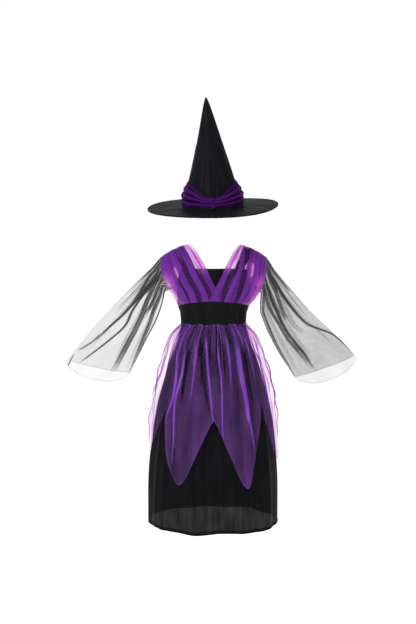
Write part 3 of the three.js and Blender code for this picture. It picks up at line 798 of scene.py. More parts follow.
def waistband(word, facing):
    u, v = fractions(220, 36)
    turn = half_turn(facing, u)
    low = trunk(turn, WAIST_Z)
    high = band_top(trunk(turn, CHEST_FROM_Z)[..., 0], facing)
    points = trunk(turn, WAIST_Z + (high - WAIST_Z) * v)
    out = unit(place(low[..., 0], low[..., 1], 0))
    fade = np.sin(np.pi * v) ** 0.7
    rng = np.random.default_rng(SEED + facing)
    shirr = np.zeros_like(u)
    for k in range(34):
        centre, half, deep = rng.uniform(0, 1), rng.uniform(1.2, 3.4), rng.uniform(0.4, 1.6)
        drift = rng.uniform(-0.03, 0.03)
        low_end, high_end = rng.uniform(-0.1, 0.45), rng.uniform(0.55, 1.1)
        reach = smooth(low_end - 0.1, low_end + 0.12, v) * (1 - smooth(high_end - 0.12, high_end + 0.1, v))
        shirr -= deep * np.exp(-((((u - centre) + drift * (v - 0.5)) * 250 / half) ** 2)) * reach
    points = points + out * (1.2 + shirr * fade)[..., None]
    for edge, row in (("top", 34), ("bottom", 2)):
        stitch_row(f"waistband_{word}_{edge}_stitches", points[:, row] + 0.45 * out[:, row], out[:, row])
    mesh = mesh_of(f"waistband_{word}_cloth", points, (0.28, 0.062))
    made = piece(mesh, BLACK, [f"waistband_{word}"], thick=0.8)
    return made


UNDERSKIRT_WAVES = 11
UNDERSKIRT_WAVE_TURN = 14


UNDERSKIRT_FOLDS = folds(
    ([(-780, -64), (-600, -60), (-400, -52)], 13, 9, 4.5, 0, 0),
    ([(-780, -44), (-560, -40)], 10, 8, -3.5, 0, 0),
    ([(-780, -14), (-640, -12), (-470, -8)], 12, 8, 3.5, 0, 0),
    ([(-780, 2), (-500, 3)], 12, 9, -3.5, 0, 0),
    ([(-780, 23), (-560, 20)], 14, 9, 4.0, 0, 0),
    ([(-780, 39), (-520, 36)], 9, 7, -3.5, 0, 0),
    ([(-780, 58), (-440, 52)], 13, 9, 4.0, 0, 0),
    ([(-780, 82), (-480, 78)], 12, 8, -3.0, 0, 0),
    ([(-780, -84), (-520, -80)], 11, 8, 3.5, 0, 0),
    ([(-780, 104), (-500, 100)], 13, 9, 4.0, 0, 0),
    ([(-780, 127), (-600, 124)], 11, 8, -3.5, 0, 0),
    ([(-780, 149), (-450, 145)], 14, 9, 4.5, 0, 0),
    ([(-780, 171), (-560, 173)], 12, 8, -3.5, 0, 0),
    ([(-780, 190), (-520, 187)], 13, 9, 3.5, 0, 0),
    ([(-780, 214), (-480, 210)], 12, 9, 4.0, 0, 0),
    ([(-780, 238), (-600, 236)], 11, 8, -3.5, 0, 0),
    ([(-780, 256), (-520, 252)], 12, 8, 3.0, 0, 0),
)


def underskirt(word, facing):
    u, v = fractions(240, 110)
    turn = half_turn(facing, u)
    top = WAIST_Z - SEAM
    z = HEM_Z + (top - HEM_Z) * v
    points = ring(UNDERSKIRT, turn, z)
    deep = np.interp(-z, [212, 260, 764], [0, 1.5, 5])
    wave = np.cos(np.radians((turn + UNDERSKIRT_WAVE_TURN) * UNDERSKIRT_WAVES))
    placed, _ = lay_folds(UNDERSKIRT_FOLDS, turn, z, spread_of(points, turn))
    out = unit(place(points[..., 0], points[..., 1], 0))
    hem = 0.6 * smooth(HEM_Z + 9, HEM_Z + 7, z) - 0.5 * np.exp(-(((z - HEM_Z - 9) / 1.2) ** 2))
    points = points + out * (0.55 * deep * wave - 0.7 + hem + placed)[..., None]
    fall = smooth(-700, HEM_Z, z)
    points[..., 2] += fall * (1.6 * np.sin(np.radians(turn * 5 + 20)) + 1.2 * np.sin(np.radians(turn * 8)))
    hem_row = np.abs(z[0] - HEM_Z - 7.5).argmin()
    stitch_row(f"underskirt_{word}_stitches", points[:, hem_row] + 0.1 * out[:, hem_row], out[:, hem_row])
    rolled = 1 - smooth(HEM_Z + 7, HEM_Z + 9, z)
    seam = np.exp(-((np.minimum(u, 1 - u) * 560 / 3) ** 2))
    mesh = mesh_of(f"underskirt_{word}_cloth", points, (0.52, 0.56), layers=1 + np.maximum(rolled, seam))
    made = piece(mesh, SKIRT_SATIN, [f"underskirt_{word}"])
    return made


OVERSKIRT_FOLDS = folds(
    ([(-560, -50), (-468, -46), (-400, -38), (-320, -40), (-237, -50)], 3.2, 2.4, 3.5, 1.2, 0.5),
    ([(-600, -37), (-514, -35), (-439, -36), (-389, -35), (-321, -32), (-250, -34)], 2.6, 2.2, 3.0, 1.5, 0.4),
    ([(-480, 0), (-441, -1), (-386, -2.5), (-309, -5.5), (-223, -9)], 2.6, 2.2, 3.5, 1.4, 0.4),
    ([(-560, 7), (-509, 6.5), (-420, 6), (-356, 6.2), (-288, 4), (-228, 3)], 2.4, 2.0, 3.0, 1.3, 0.3),
    ([(-600, 36), (-514, 34), (-449, 30), (-378, 27.5), (-297, 26), (-225, 28)], 7.5, 5.0, 4.5, 0.9, 0.5),
    ([(-470, 60), (-423, 58), (-374, 61), (-333, 60), (-287, 54), (-230, 52)], 2.6, 2.2, 3.0, 1.2, 0.4),
    ([(-430, -20), (-330, -19), (-230, -20)], 4.0, 3.0, 2.5, 0.5, 0.3),
    ([(-400, 15), (-300, 15), (-226, 14)], 4.0, 3.0, 2.5, 0.5, 0.4),
    ([(-390, 44), (-300, 42), (-226, 41)], 3.0, 2.6, 2.5, 0.6, 0.4),
    ([(-440, -28), (-348, -28), (-262, -27)], 4.5, 3.0, -3.0, -0.45, 0),
    ([(-459, -1.5), (-405, -5), (-320, -10.5), (-240, -13)], 3.5, 2.6, -3.0, -0.5, 0),
    ([(-345, 9.5), (-288, 8.5), (-224, 5.5)], 3.0, 2.4, -3.0, -0.5, 0),
    ([(-430, 36.5), (-361, 35), (-263, 35)], 5.0, 3.0, -3.0, -0.4, 0),
    ([(-420, -58), (-330, -59), (-250, -60)], 6.0, 4.0, -3.0, -0.4, 0),
    ([(-520, -76), (-403, -74), (-318, -66), (-224, -70)], 2.4, 2.0, 3.5, 0.9, 0.3),
    ([(-500, -90), (-321, -88), (-236, -84)], 2.0, 1.8, 3.5, 0.9, 0.3),
    ([(-560, -82), (-420, -81)], 1.8, 1.5, 2.5, 0.8, 0.2),
    ([(-480, 66), (-376, 66), (-306, 62), (-235, 66)], 2.2, 2.0, 3.0, 0.9, 0.3),
    ([(-540, 86), (-422, 82), (-339, 82), (-240, 74)], 2.2, 2.0, 3.5, 1.0, 0.3),
    ([(-590, 80), (-450, 76)], 2.0, 1.6, 2.5, 0.8, 0.2),
    ([(-520, 98), (-380, 96), (-240, 95)], 2.2, 2.0, 3.0, 0.9, 0.3),
    ([(-500, 122), (-400, 118), (-300, 116), (-226, 118)], 3.0, 2.4, 3.5, 1.1, 0.4),
    ([(-560, 148), (-440, 146), (-330, 142), (-226, 144)], 2.6, 2.2, 3.0, 1.3, 0.4),
    ([(-420, 133), (-330, 131), (-250, 130)], 4.5, 3.0, -3.0, -0.45, 0),
    ([(-600, 163), (-480, 160), (-360, 160), (-226, 158)], 5.5, 3.6, 4.0, 0.8, 0.5),
    ([(-450, 177), (-350, 176), (-228, 174)], 2.6, 2.2, 3.0, 1.2, 0.4),
    ([(-440, 186), (-320, 187), (-240, 188)], 4.0, 3.0, -3.0, -0.4, 0),
    ([(-590, 201), (-470, 199), (-350, 196), (-226, 197)], 3.0, 2.4, 3.5, 1.2, 0.4),
    ([(-560, 214), (-430, 212), (-300, 208), (-226, 206)], 6.0, 4.0, 4.0, 0.7, 0.5),
    ([(-430, 226), (-320, 224), (-240, 222)], 4.5, 3.0, -3.0, -0.4, 0),
    ([(-500, 240), (-380, 238), (-226, 236)], 2.6, 2.2, 3.0, 1.2, 0.4),
    ([(-540, 258), (-400, 255), (-236, 258)], 2.4, 2.0, 3.5, 1.0, 0.3),
)


def overskirt(word, facing):
    u, v = fractions(540, 120)
    turn = half_turn(facing, u)
    low = petal_edge(turn)
    z = low + (OVERSKIRT_TOP_Z - low) * (v + 0.6 * v * (1 - v))
    points = ring(OVERSKIRT, turn, z)
    out = unit(place(points[..., 0], points[..., 1], 0))
    deep = np.interp(-z, [212, 222, 240, 340, 520, 640], [0, 2.2, 4.6, 4.2, 2.3, 1.5])
    wave = np.cos(np.radians(turn * 26))
    placed, more = lay_folds(OVERSKIRT_FOLDS, turn, z, spread_of(points, turn), 0.32, 3.5)
    rng = np.random.default_rng(SEED + facing)
    down = OVERSKIRT_TOP_Z - z
    fine, fine_more = crinkles(u, down, 64, rng, (30, 210), (0.0020, 0.0062), (-2.8, 3.2), 3.1)
    edge = smooth(0, 14, down)
    away = np.abs(turn if facing < 0 else turn - 180)
    clear_of = (read(UNDERSKIRT, "half", z) / read(OVERSKIRT, "half", z)) ** (OVAL_POWER / 2)
    silhouette = np.degrees(np.arcsin(np.minimum(clear_of, 1)))
    side = smooth(-3, 5, away - silhouette)
    sway = side * smooth(20, 80, down) * (2.2 * np.sin(z / 21 + facing) + 1.4 * np.sin(z / 9.5 + turn / 7))
    puff = 1 - smooth(0, 15, down)
    lift = 1.4 + 0.55 * deep * wave + (placed + fine * smooth(0, 14, down)) * edge + 1.3 * puff + sway
    points = points + out * np.maximum(lift, 0.6)[..., None]
    ruffle = 2.2 + 1.4 * np.sin(np.radians(turn * 13 + 40)) + 1.3 * np.sin(np.radians(turn * 31))
    points[..., 2] += np.maximum(ruffle + 0.5 * fine, 0) * puff
    base = lerp(lerp(0.6, 1.02, smooth(250, 500, -z)), 0.17, side * smooth(-216, -250, z))
    clouds = 0.2 * np.sin(np.radians(turn * 4.3 + z * 0.5)) + 0.16 * np.sin(np.radians(turn * 9.1 - z * 0.9))
    clouds = clouds + 0.14 * np.sin(np.radians(turn * 21 + z * 0.2)) * smooth(-380, -480, z)
    gathered = 0.8 * (1 - smooth(0, 70, down))
    loose = lerp(1, 0.5, side)
    turned = 1.3 * np.exp(-(((z - low) / 2.6) ** 2))
    layers = base * (1 + clouds + 0.14 * wave) + (gathered + turned + 2.5 * more + fine_more) * loose
    mesh = mesh_of(f"overskirt_{word}_cloth", points, (0.6, 0.44), layers=np.maximum(layers, 0.08))
    made = piece(mesh, ORGANZA, [f"overskirt_{word}"])
    return made


# Pleats of the drapes. Along is the rise (front as photographed, back alike), across the share
# from the neck edge to the arm edge
DRAPE_PLEATS = {
    -1: folds(
        ([(0, 0.01), (0.3, 0.02), (0.6, 0.04), (1, 0.07)], 4, 5, 1.2, 0.2, 0.35),
        ([(0.45, 0.24), (0.6, 0.23), (0.75, 0.23), (1.05, 0.25)], 2.2, 2.4, -1.8, -1.5, 0),
        ([(-0.05, 0.21), (0.1, 0.21), (0.33, 0.2), (0.57, 0.21)], 8.5, 5.5, -2.2, -1.3, 0.25),
        ([(-0.1, 0.13), (0.32, 0.12), (0.62, 0.1), (1.05, 0.13)], 1.5, 2, 1.2, 0.7, 0.2),
        ([(-0.1, 0.32), (0.12, 0.32), (0.34, 0.33), (0.61, 0.345), (0.91, 0.34), (1.1, 0.33)], 7, 8, 2.4, 1, 0.6),
        ([(-0.1, 0.5), (0.22, 0.46), (0.44, 0.47), (0.7, 0.5), (1.1, 0.55)], 7.0, 9.5, -2.4, -1.35, 0.2),
        ([(-0.1, 0.62), (0.3, 0.58), (0.6, 0.6), (1.1, 0.66)], 8, 7, 2.2, 0.9, 0.5),
        ([(-0.1, 0.72), (0.3, 0.69), (0.7, 0.72), (1.1, 0.77)], 3.3, 4.5, -2, -0.9, 0.2),
        ([(-0.1, 0.8), (0.3, 0.78), (0.7, 0.8), (1.1, 0.86)], 5, 5, 2, 0.8, 0.5),
        ([(0.15, 0.86), (0.32, 0.85), (0.6, 0.84)], 1.6, 2.6, -1.5, -1.6, 0.4),
        ([(-0.1, 0.9), (0.3, 0.9), (0.7, 0.9), (1.1, 0.93)], 2, 3, 1.6, 0.8, 0.4),
        ([(-0.05, 0.96), (0.2, 0.96), (0.45, 0.94)], 2.2, 3.8, -1.2, -1.4, 0.15),
        ([(0.47, 0.68), (0.58, 0.67), (0.7, 0.68)], 12, 9, -1.2, -0.8, 0.1),
    ),
    1: folds(
        ([(0, 0.03), (0.3, 0.02), (0.6, 0.03), (1, 0.06)], 4, 4, 1.2, 0.3, 0.35),
        ([(-0.1, 0.11), (0.35, 0.1), (0.65, 0.13), (0.95, 0.12), (1.1, 0.12)], 3, 2, 1.4, 0.8, 0.5),
        ([(-0.1, 0.33), (0.1, 0.29), (0.33, 0.21), (0.59, 0.2), (0.8, 0.2)], 6.4, 7, -2.2, -1.3, 0.2),
        ([(0.45, 0.28), (0.6, 0.29), (0.8, 0.24), (1, 0.22)], 3.8, 3, -1.6, -0.9, 0.15),
        ([(-0.1, 0.44), (0.25, 0.38), (0.6, 0.37), (0.85, 0.3), (1.1, 0.24)], 6, 4, 2.2, 1, 0.6),
        ([(-0.1, 0.66), (0.03, 0.63), (0.36, 0.54), (0.6, 0.5), (0.81, 0.44), (1.0, 0.31), (1.1, 0.3)], 6.0, 8.5, -2.6, -1.4, 0.3),
        ([(-0.1, 0.76), (0.3, 0.66), (0.6, 0.6), (0.85, 0.54), (1.1, 0.46)], 5, 5, 2.2, 0.8, 0.5),
        ([(0.5, 0.7), (0.62, 0.69), (0.8, 0.62)], 8.2, 9, -1.2, -1.1, 0.1),
        ([(0.2, 0.77), (0.35, 0.76), (0.53, 0.71)], 2.7, 3.6, -1.6, -0.9, 0.15),
        ([(-0.1, 0.84), (0.3, 0.8), (0.6, 0.79), (0.85, 0.74), (1.1, 0.7)], 4, 5, 2, 1, 0.6),
        ([(0.15, 0.87), (0.45, 0.86), (0.7, 0.84)], 2.7, 3.6, -1.5, -1.2, 0.2),
        ([(-0.1, 0.92), (0.3, 0.91), (0.6, 0.9), (0.85, 0.88), (1.1, 0.87)], 3, 4, 2, 1.2, 0.6),
        ([(0.0, 0.97), (0.3, 0.97), (0.7, 0.96), (1.1, 0.96)], 2, 2, 1.4, 0.8, 0.4),
    ),
}

# Layers that the gathers add over each shoulder
SHOULDER_LAYERS = {-1: 2.6, 1: 0.8}
# The fewest layers at the bottom of a pleat
PLEAT_LAYERS = 0.85


def drape(word, side):
    u, v = fractions(180, 170)
    share = u if side > 0 else 1 - u
    way = 2 * v - 1
    rise = 1 - way * way
    plain = drape_lifted(side, share, way)
    placed, more = lay_folds(DRAPE_PLEATS[side], share, rise, spread_of(plain, share))
    held = smooth(0, 0.12, rise)
    rng = np.random.default_rng(SEED + 20 + side)
    fine, fine_more = crinkles(u, rise, 26, rng, (0.25, 0.9), (0.004, 0.012), (-0.6, 0.9), 0.8)
    top, top_more = crinkles(u, 1 - rise, 22, rng, (0.25, 0.8), (0.005, 0.012), (-0.8, 1.2), 1.2)
    edge = np.minimum(1, 10 * share * (1 - share))
    more_lift = (placed + fine * smooth(0.02, 0.1, rise) + top) * edge * held
    floor_lift = -2.6 * smooth(0.05, 0.3, rise) - 0.4
    points = drape_lifted(side, share, way, np.maximum(more_lift, floor_lift))
    seam_band = 0.9 * (1 - smooth(0.02, 0.07, rise))
    neck_open = 2.2 * (1 - smooth(0.12, 0.3, share)) * smooth(0.45, 0.65, rise)
    arm_open = 1.5 * smooth(0.78, 0.92, share) * (1 - smooth(0.4, 0.7, rise))
    shoulder = SHOULDER_LAYERS[side] * smooth(0.62, 0.9, rise) * smooth(0.3, 0.5, share)
    layers = 2.5 + shoulder + 1.8 * more + fine_more + 1.2 * top_more + seam_band - neck_open - arm_open
    pale = np.clip(neck_open / 2.2 + 0.7 * arm_open / 1.5, 0, 1)
    layers = np.maximum(layers, lerp(PLEAT_LAYERS, 0.12, pale))
    mesh = mesh_of(f"drape_{word}_cloth", points, (0.14, 0.42), layers=layers, pale=pale)
    made = piece(mesh, TULLE, [f"drape_front_{word}", f"drape_back_{word}"])
    return made


# Folds of the sleeves. Along is the way to the cuff, across the turn from the outer edge over the
# front (90) to the inner edge (180) and the back (270)
SLEEVE_FOLDS = {
    -1: folds(
        ([(-0.02, 50), (0.13, 46), (0.25, 60), (0.36, 68), (0.44, 69)], 3.6, 2, 1.5, 4, 4),
        ([(-0.02, 66), (0.22, 72), (0.35, 74), (0.43, 71), (0.53, 67), (0.61, 60), (0.76, 48)], 3, 1.4, 2.5, 6, 4),
        ([(-0.02, 84), (0.2, 82), (0.31, 79), (0.39, 71)], 3, 2, 1.5, 5, 4),
        ([(0.2, 73), (0.34, 79), (0.46, 82), (0.58, 88), (0.63, 86), (0.69, 80), (0.77, 70), (0.85, 58), (0.94, 44)], 1.6, 1.5, 3, 7, 2),
        ([(-0.02, 80), (0.21, 92), (0.35, 100), (0.47, 109), (0.58, 112), (0.67, 114), (0.85, 114), (0.96, 114)], 3, 6.5, 3, 3.2, 3.5),
        ([(-0.02, 100), (0.2, 111), (0.36, 118), (0.47, 115)], 3, 3, 2, 3, 3),
        ([(-0.02, 116), (0.2, 136), (0.35, 132), (0.49, 139), (0.62, 144), (0.74, 150), (0.87, 157), (1.02, 168)], 2.4, 6, 2.5, 2.6, 2.5),
        ([(-0.02, 126), (0.2, 166), (0.39, 165), (0.54, 162), (0.68, 161), (0.8, 163), (0.95, 168)], 1.8, 1.8, 2, 5, 1),
        ([(0.7, 50), (0.75, 46), (0.81, 36), (0.88, 18)], 2.5, 2, 2, 1.6, 0.5),
        ([(0.92, 14), (0.97, 20), (1.03, 26)], 2, 2, 1, 2.5, 0.5),
        ([(-0.02, 300), (0.3, 296), (0.6, 300), (0.9, 312)], 5, 2, 2.5, 0.4, 0.25),
        ([(-0.02, 270), (0.3, 262), (0.6, 256), (0.95, 250)], 5, 5, 3, 0.4, 0.25),
        ([(-0.02, 240), (0.3, 232), (0.7, 222), (1.02, 214)], 4, 5, 2.5, 0.4, 0.25),
    ),
    1: folds(
        ([(-0.02, 53), (0.14, 61), (0.29, 67), (0.42, 66), (0.56, 61), (0.65, 41), (0.75, 14), (0.87, 3), (1.03, 1)], 3, 1.6, 3, 6, 2),
        ([(-0.02, 40), (0.15, 30), (0.3, 34)], 2.4, 2, 1.5, 3.5, 2.5),
        ([(-0.02, 66), (0.12, 72), (0.25, 78)], 2.4, 3, 1.5, 3.5, 3),
        ([(-0.02, 76), (0.14, 79), (0.28, 85), (0.38, 91), (0.51, 97)], 3.6, 2.5, 2, 3, 3.5),
        ([(-0.02, 98), (0.22, 107), (0.37, 106), (0.51, 110), (0.61, 110), (0.71, 107), (0.81, 104), (0.92, 105)], 3, 2.2, 3, 7, 2.5),
        ([(-0.02, 110), (0.22, 126), (0.4, 121), (0.54, 118), (0.65, 118), (0.74, 113), (0.9, 108)], 2.4, 3.4, 1.5, 2.5, 3),
        ([(-0.02, 128), (0.2, 140), (0.36, 154), (0.54, 156), (0.7, 160), (0.82, 160), (1.02, 170)], 4, 5, 2.5, 2.2, 2.5),
        ([(-0.02, 150), (0.2, 170), (0.36, 178), (0.55, 178), (0.71, 176), (1.02, 177)], 2, 2, 2, 3.5, 1),
        ([(0.25, 76), (0.35, 80), (0.54, 88), (0.66, 76)], 5, 6, 2, 0.5, 0.3),
        ([(-0.02, 300), (0.3, 300), (0.6, 308), (0.9, 322)], 4, 2, 2.5, 0.4, 0.25),
        ([(-0.02, 268), (0.3, 262), (0.6, 260), (0.95, 262)], 5, 4, 3, 0.4, 0.25),
        ([(-0.02, 240), (0.3, 230), (0.7, 224), (1.02, 212)], 4, 5, 2.5, 0.4, 0.25),
    ),
}
# Net layers of the front and the back of each sleeve
SLEEVE_NET_LAYERS = {-1: (0.65, 0.85), 1: (1.1, 2.4)}
# Degrees over which the net is thin under the arm, and millimetres that it reaches under the drape
UNDERARM_REACH = 42
SLEEVE_TUCK = 2.4


def sleeve(word, side):
    u, v = fractions(300, 120, loop=True)
    turn = u * 360
    way = v**1.15
    plain = sleeve_form(side, turn, way)
    wide = np.linalg.norm(np.roll(plain, -1, axis=0) - np.roll(plain, 1, axis=0), axis=-1)
    spread = wide / (2 * 360 / len(u))
    placed, more = lay_folds(SLEEVE_FOLDS[side], turn, way, spread)
    rng = np.random.default_rng(SEED + 40 + side)
    fine, fine_more = crinkles(u, way, 52, rng, (0.12, 0.62), (0.0014, 0.0042), (0.3, 2.0), 34)
    middle = plain.mean(axis=0, keepdims=True)
    out = unit(plain - middle)
    set_in = smooth(0.0, 0.05, way)
    cut = 1.2 * np.sin(np.radians(turn * 7)) * smooth(0.9, 1, way)
    points = plain + out * ((placed + fine) * set_in + cut)[..., None]
    down_sleeve = unit(plain[:, 4:5] - plain[:, :1])
    points = points - down_sleeve * (SLEEVE_TUCK * (1 - smooth(0, 0.03, way)))[..., None]
    fore = smooth(-0.1, 0.1, np.sin(np.radians(turn)))
    base = lerp(SLEEVE_NET_LAYERS[side][1], SLEEVE_NET_LAYERS[side][0], fore)
    underarm = np.exp(-(((turn - 180) / UNDERARM_REACH) ** 2)) * (1 - smooth(0.06, 0.16, way))
    gathered = 3.0 * (1 - smooth(0, 0.1, way)) * (1 - underarm)
    layers = base * (1 - 0.7 * underarm) + (4.6 * more + fine_more) * (1 - 0.8 * underarm)
    layers = layers + gathered + 1.4 * smooth(0.99, 1, way)
    mesh = mesh_of(f"sleeve_{word}_net", points, (0.5, 0.4), loop=True, layers=layers, flip=side < 0)
    made = piece(mesh, NET, [f"sleeve_{word}"])
    return made


# Hat


CROWN_FOLDS = folds(
    ([(62, 52), (86, 44), (118, 40)], 2.6, 1.4, -3.0, 0, 0),
    ([(60, 62), (92, 55), (140, 50)], 3.2, 1.6, 3.0, 0, 0),
    ([(58, 72), (100, 70), (128, 76)], 2.8, 1.4, -2.6, 0, 0),
    ([(38, 14), (52, 24), (66, 42)], 3.0, 2.0, 2.6, 0, 0),
    ([(30, 4), (48, 8), (60, 20)], 3.0, 1.6, -2.4, 0, 0),
    ([(40, -12), (54, -22), (70, -40)], 3.2, 2.0, 1.3, 0, 0),
    ([(90, -30), (150, -20), (230, -26)], 7, 2.5, 1.2, 0, 0),
    ([(70, 4), (140, 10), (220, 4)], 8, 2.5, -1.0, 0, 0),
    ([(160, 40), (200, 34), (262, 44)], 4, 1.5, 1.1, 0, 0),
    ([(66, -66), (100, -60), (150, -64)], 3.6, 2.0, -1.5, 0, 0),
    ([(60, -96), (110, -92), (180, -98)], 5, 2.4, 1.4, 0, 0),
    ([(62, 104), (120, 98), (200, 106)], 5, 2.4, 1.4, 0, 0),
    ([(62, 134), (96, 140), (130, 136)], 3, 1.6, -1.6, 0, 0),
    ([(60, 168), (130, 172), (240, 166)], 6, 2.2, 1.3, 0, 0),
    ([(62, -128), (100, -134), (150, -126)], 3.4, 1.8, 1.6, 0, 0),
    ([(60, -156), (90, -150), (120, -154)], 3, 1.6, -1.6, 0, 0),
)


def hat_crown():
    u, v = fractions(200, 150, loop=True)
    turn = (u * 360 + 180) % 360 - 180
    up = 0.3 + (HAT_HEIGHT - 0.8) * (1 - (1 - v) ** 1.15)
    radius = read(CROWN, "radius", up)
    placed, _ = lay_folds(CROWN_FOLDS, turn, up, radius * math.pi / 180)
    slack = 0.5 * np.sin(np.radians(2 * turn + up * 2.2)) * smooth(60, 110, up) * (1 - smooth(230, 285, up))
    stitched = -0.35 * np.exp(-((np.abs(np.abs(turn) - 180) * radius * math.pi / 180 / 1.2) ** 2))
    points = hat_world(on_hat(turn, up, radius + placed + slack + stitched))
    mesh = mesh_of("hat_crown_cloth", points, (0.52, 0.3), loop=True)
    made = piece(mesh, HAT_SATIN, ["hat_crown"])
    return made


BRIM_FOLDS = folds(
    ([(84, 6), (100, 14), (128, 30)], 3, 5, 1.0, 0, 0),
    ([(84, -10), (104, -18), (130, -36)], 3, 5, -0.9, 0, 0),
    ([(90, -60), (130, -64), (174, -58)], 4, 7, 1.1, 0, 0),
    ([(86, 52), (110, 58), (150, 54)], 4, 7, -0.9, 0, 0),
    ([(88, 84), (120, 80), (172, 88)], 4, 8, 1.1, 0, 0),
    ([(86, -96), (120, -100), (170, -92)], 4, 8, -1.0, 0, 0),
    ([(86, 140), (120, 146), (168, 140)], 4, 8, 1.0, 0, 0),
    ([(86, -150), (130, -144), (172, -152)], 4, 8, 1.0, 0, 0),
    ([(86, 178), (120, 172), (160, 176)], 4, 8, -0.9, 0, 0),
)


def hat_brim():
    u, v = fractions(220, 40, loop=True)
    turn = (u * 360 + 180) % 360 - 180
    radius = BRIM_INNER + (BRIM_OUTER - BRIM_INNER) * v
    placed, _ = lay_folds(BRIM_FOLDS, turn, radius, radius * math.pi / 180)
    edge = smooth(0, 6, radius - BRIM_INNER) * (1 - smooth(-8, 0, radius - BRIM_OUTER))
    ripple = 0.35 * np.sin(np.radians(turn * 17)) * np.exp(-(((radius - 92) / 9) ** 2))
    points = on_hat(turn, (placed + ripple) * edge - BRIM_CLOTH / 2, radius)
    mesh = mesh_of("hat_brim_cloth", hat_world(brim_shift(points)), (1.1, 0.1), loop=True)
    made = piece(mesh, HAT_SATIN, ["hat_brim"], thick=2)
    return made


def hat_binding():
    turn, around = fractions(240, 14, loop=True)
    turn = turn * 360
    around = (around - 0.5) * 330
    pucker = BINDING_WIRE + 0.12 * np.sin(np.radians(turn * 70)) + 0.1 * np.sin(np.radians(turn * 31))
    radius = BRIM_OUTER + SEAM + BINDING_WIRE + pucker * np.cos(np.radians(around))
    up = pucker * np.sin(np.radians(around)) - BRIM_CLOTH / 2
    points = place(radius * np.sin(np.radians(turn)), -radius * np.cos(np.radians(turn)), up)
    mesh = mesh_of("hat_brim_binding_cloth", hat_world(brim_shift(points)), (1.1, 0.012), loop=True)
    made = piece(mesh, HAT_SATIN, ["hat_brim_binding"])
    return made


# Folds of the scarf. Along is the share of the half turn from the pinch, across the share of its height
SCARF_FOLDS = {
    -1: folds(
        ([(-0.1, 0.3), (0.1, 0.22), (0.3, 0.16), (0.7, 0.2), (1.1, 0.16)], 3.2, 3.0, 2.2, 1.5, 1.0),
        ([(-0.1, 0.42), (0.12, 0.36), (0.3, 0.32), (0.6, 0.3), (1.1, 0.34)], 1.8, 2.2, -2.6, -1.2, 0.5),
        ([(-0.1, 0.55), (0.12, 0.5), (0.32, 0.46), (0.65, 0.44), (1.1, 0.5)], 3.0, 4.0, 2.6, 1.2, 1.0),
        ([(0.02, 0.66), (0.15, 0.62), (0.4, 0.6), (1.1, 0.62)], 1.6, 2.2, -2.6, -1.2, 0.5),
        ([(-0.1, 0.74), (0.2, 0.73), (0.45, 0.74), (1.1, 0.74)], 2.6, 3.8, 2.4, 1.0, 1.0),
        ([(0.08, 0.86), (0.3, 0.87), (0.6, 0.85), (1.1, 0.87)], 1.4, 2.0, -1.8, -1.0, 0.4),
        ([(0.2, 0.3), (0.34, 0.38), (0.5, 0.46)], 1.4, 1.6, -1.4, -0.8, 0.3),
    ),
    1: folds(
        ([(-0.1, 0.28), (0.1, 0.2), (0.34, 0.18), (0.7, 0.16), (1.1, 0.2)], 3.0, 3.4, 2.2, 1.5, 1.0),
        ([(-0.1, 0.4), (0.1, 0.33), (0.3, 0.3), (0.6, 0.33), (1.1, 0.3)], 1.7, 2.2, -2.6, -1.2, 0.5),
        ([(-0.1, 0.52), (0.12, 0.46), (0.32, 0.42), (0.65, 0.47), (1.1, 0.44)], 3.0, 4.2, 2.6, 1.2, 1.0),
        ([(0.02, 0.64), (0.15, 0.58), (0.4, 0.55), (1.1, 0.58)], 1.6, 2.2, -2.4, -1.2, 0.5),
        ([(-0.1, 0.76), (0.2, 0.7), (0.45, 0.68), (1.1, 0.72)], 2.8, 3.8, 2.4, 1.0, 1.0),
        ([(0.1, 0.84), (0.3, 0.82), (0.6, 0.84), (1.1, 0.86)], 1.4, 2.0, -1.8, -1.0, 0.4),
        ([(0.16, 0.52), (0.3, 0.6), (0.44, 0.7)], 1.3, 1.6, -1.4, -0.8, 0.3),
    ),
}


def hat_scarf(word, side):
    u, v = fractions(200, 90)
    way = u if side > 0 else 1 - u
    away = 0.2 + 179.6 * way
    low, high = read(SCARF, "low", away), read(SCARF, "high", away)
    up = low + (high - low) * v
    swell = np.maximum(0, np.sin(np.pi * v)) ** 0.7
    placed, more = lay_folds(SCARF_FOLDS[side], v, way, high - low)
    rng = np.random.default_rng(SEED + 60 + side)
    fine, fine_more = crinkles(v, way, 9, rng, (0.12, 0.35), (0.02, 0.05), (-1.0, 1.0), 1.0)
    full = lerp(0.35, 1, smooth(0, 0.14, way))
    lift = SCARF_REST + read(SCARF, "full", away) * swell + (placed * full + fine) * swell
    points = hat_world(on_hat(side * away, up, read(CROWN, "radius", up) + np.maximum(lift, 0.9)))
    layers = 2.4 + 1.6 * more + fine_more
    mesh = mesh_of(f"hat_scarf_{word}_cloth", points, (0.24, 0.075), layers=layers)
    made = piece(mesh, SCARF_TULLE, [f"hat_scarf_{word}"])
    return made


def hat_pinch():
    u, v = fractions(24, 30)
    bend = (2 * u - 1) * 80
    up = 5 + 28 * v
    front = on_hat(0 * up, up, read(CROWN, "radius", up) + 4.0 + 3.2 * np.cos(np.radians(bend)))
    front[..., 0] += (3.6 + 2.6 * np.abs(2 * v - 1) ** 1.5) * np.sin(np.radians(bend))
    mesh = mesh_of("hat_scarf_pinch_cloth", hat_world(front), (0.02, 0.03), layers=5.0)
    made = piece(mesh, SCARF_TULLE, ["hat_scarf_pinch"])
    return made


for word, facing in (("front", -1), ("back", 1)):
    bodice(word, facing)
    waistband(word, facing)
    underskirt(word, facing)
    overskirt(word, facing)
for word, side in (("left", -1), ("right", 1)):
    shoulder_strap(word, side)
    drape(word, side)
    sleeve(word, side)
    hat_scarf(word, side)
hat_crown()
hat_brim()
hat_binding()
hat_pinch()


# Floor, light and camera

FLOOR_Z = -1.03


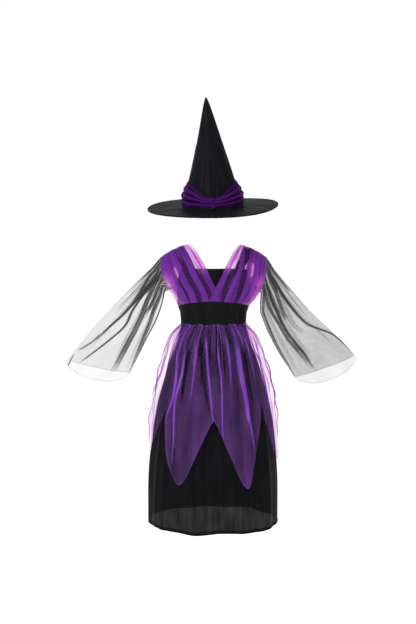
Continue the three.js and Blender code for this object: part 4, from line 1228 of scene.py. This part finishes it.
def stage_floor():
    mesh = bpy.data.meshes.new("studio_floor")
    half = 30
    corners = [(-half, -half, FLOOR_Z), (half, -half, FLOOR_Z), (half, half, FLOOR_Z), (-half, half, FLOOR_Z)]
    mesh.from_pydata(corners, [], [(0, 1, 2, 3)])
    floor = bpy.data.objects.new("studio_floor", mesh)
    bpy.context.scene.collection.objects.link(floor)
    material, tree = new_material("Pale floor")
    pale = {"Base Color": (0.9, 0.9, 0.9, 1), "Roughness": 0.8, "Emission Color": (1, 1, 1, 1), "Emission Strength": 0.5}
    finish_material(tree, add(tree, "ShaderNodeBsdfPrincipled", pale).outputs[0])
    mesh.materials.append(material)


def area_light(name, location, size, power, aim=(0, 0, -0.2)):
    light = bpy.data.lights.new(name, "AREA")
    light.shape = "DISK"
    light.size = size
    light.energy = power
    lamp = bpy.data.objects.new(name, light)
    lamp.location = location
    toward = Vector(aim) - Vector(location)
    lamp.rotation_euler = toward.to_track_quat("-Z", "Y").to_euler()
    bpy.context.scene.collection.objects.link(lamp)


def studio():
    stage_floor()
    world = bpy.data.worlds.new("Studio")
    bpy.context.scene.world = world
    world.use_nodes = True
    back = world.node_tree.nodes["Background"]
    back.inputs["Color"].default_value = (1, 1, 1, 1)
    seen = add(world.node_tree, "ShaderNodeLightPath").outputs["Is Camera Ray"]
    strength = mapped(world.node_tree, seen, 0.0, 1.0, 0.62, 1.0)
    world.node_tree.links.new(strength, back.inputs["Strength"])
    area_light("key", (-1.7, -2.4, 1.5), 0.9, 62)
    area_light("fill", (2.2, -2.0, 0.3), 1.5, 12)
    bpy.context.scene.view_settings.view_transform = "Standard"


def camera():
    lens = bpy.data.cameras.new("camera")
    lens.lens = 50
    lens.sensor_fit = "VERTICAL"
    lens.sensor_height = 36
    eye = bpy.data.objects.new("camera", lens)
    eye.location = (-0.0152, -2.3967, -0.0544)
    eye.rotation_euler = (math.radians(87), 0, 0)
    bpy.context.scene.collection.objects.link(eye)
    bpy.context.scene.camera = eye


studio()
camera()
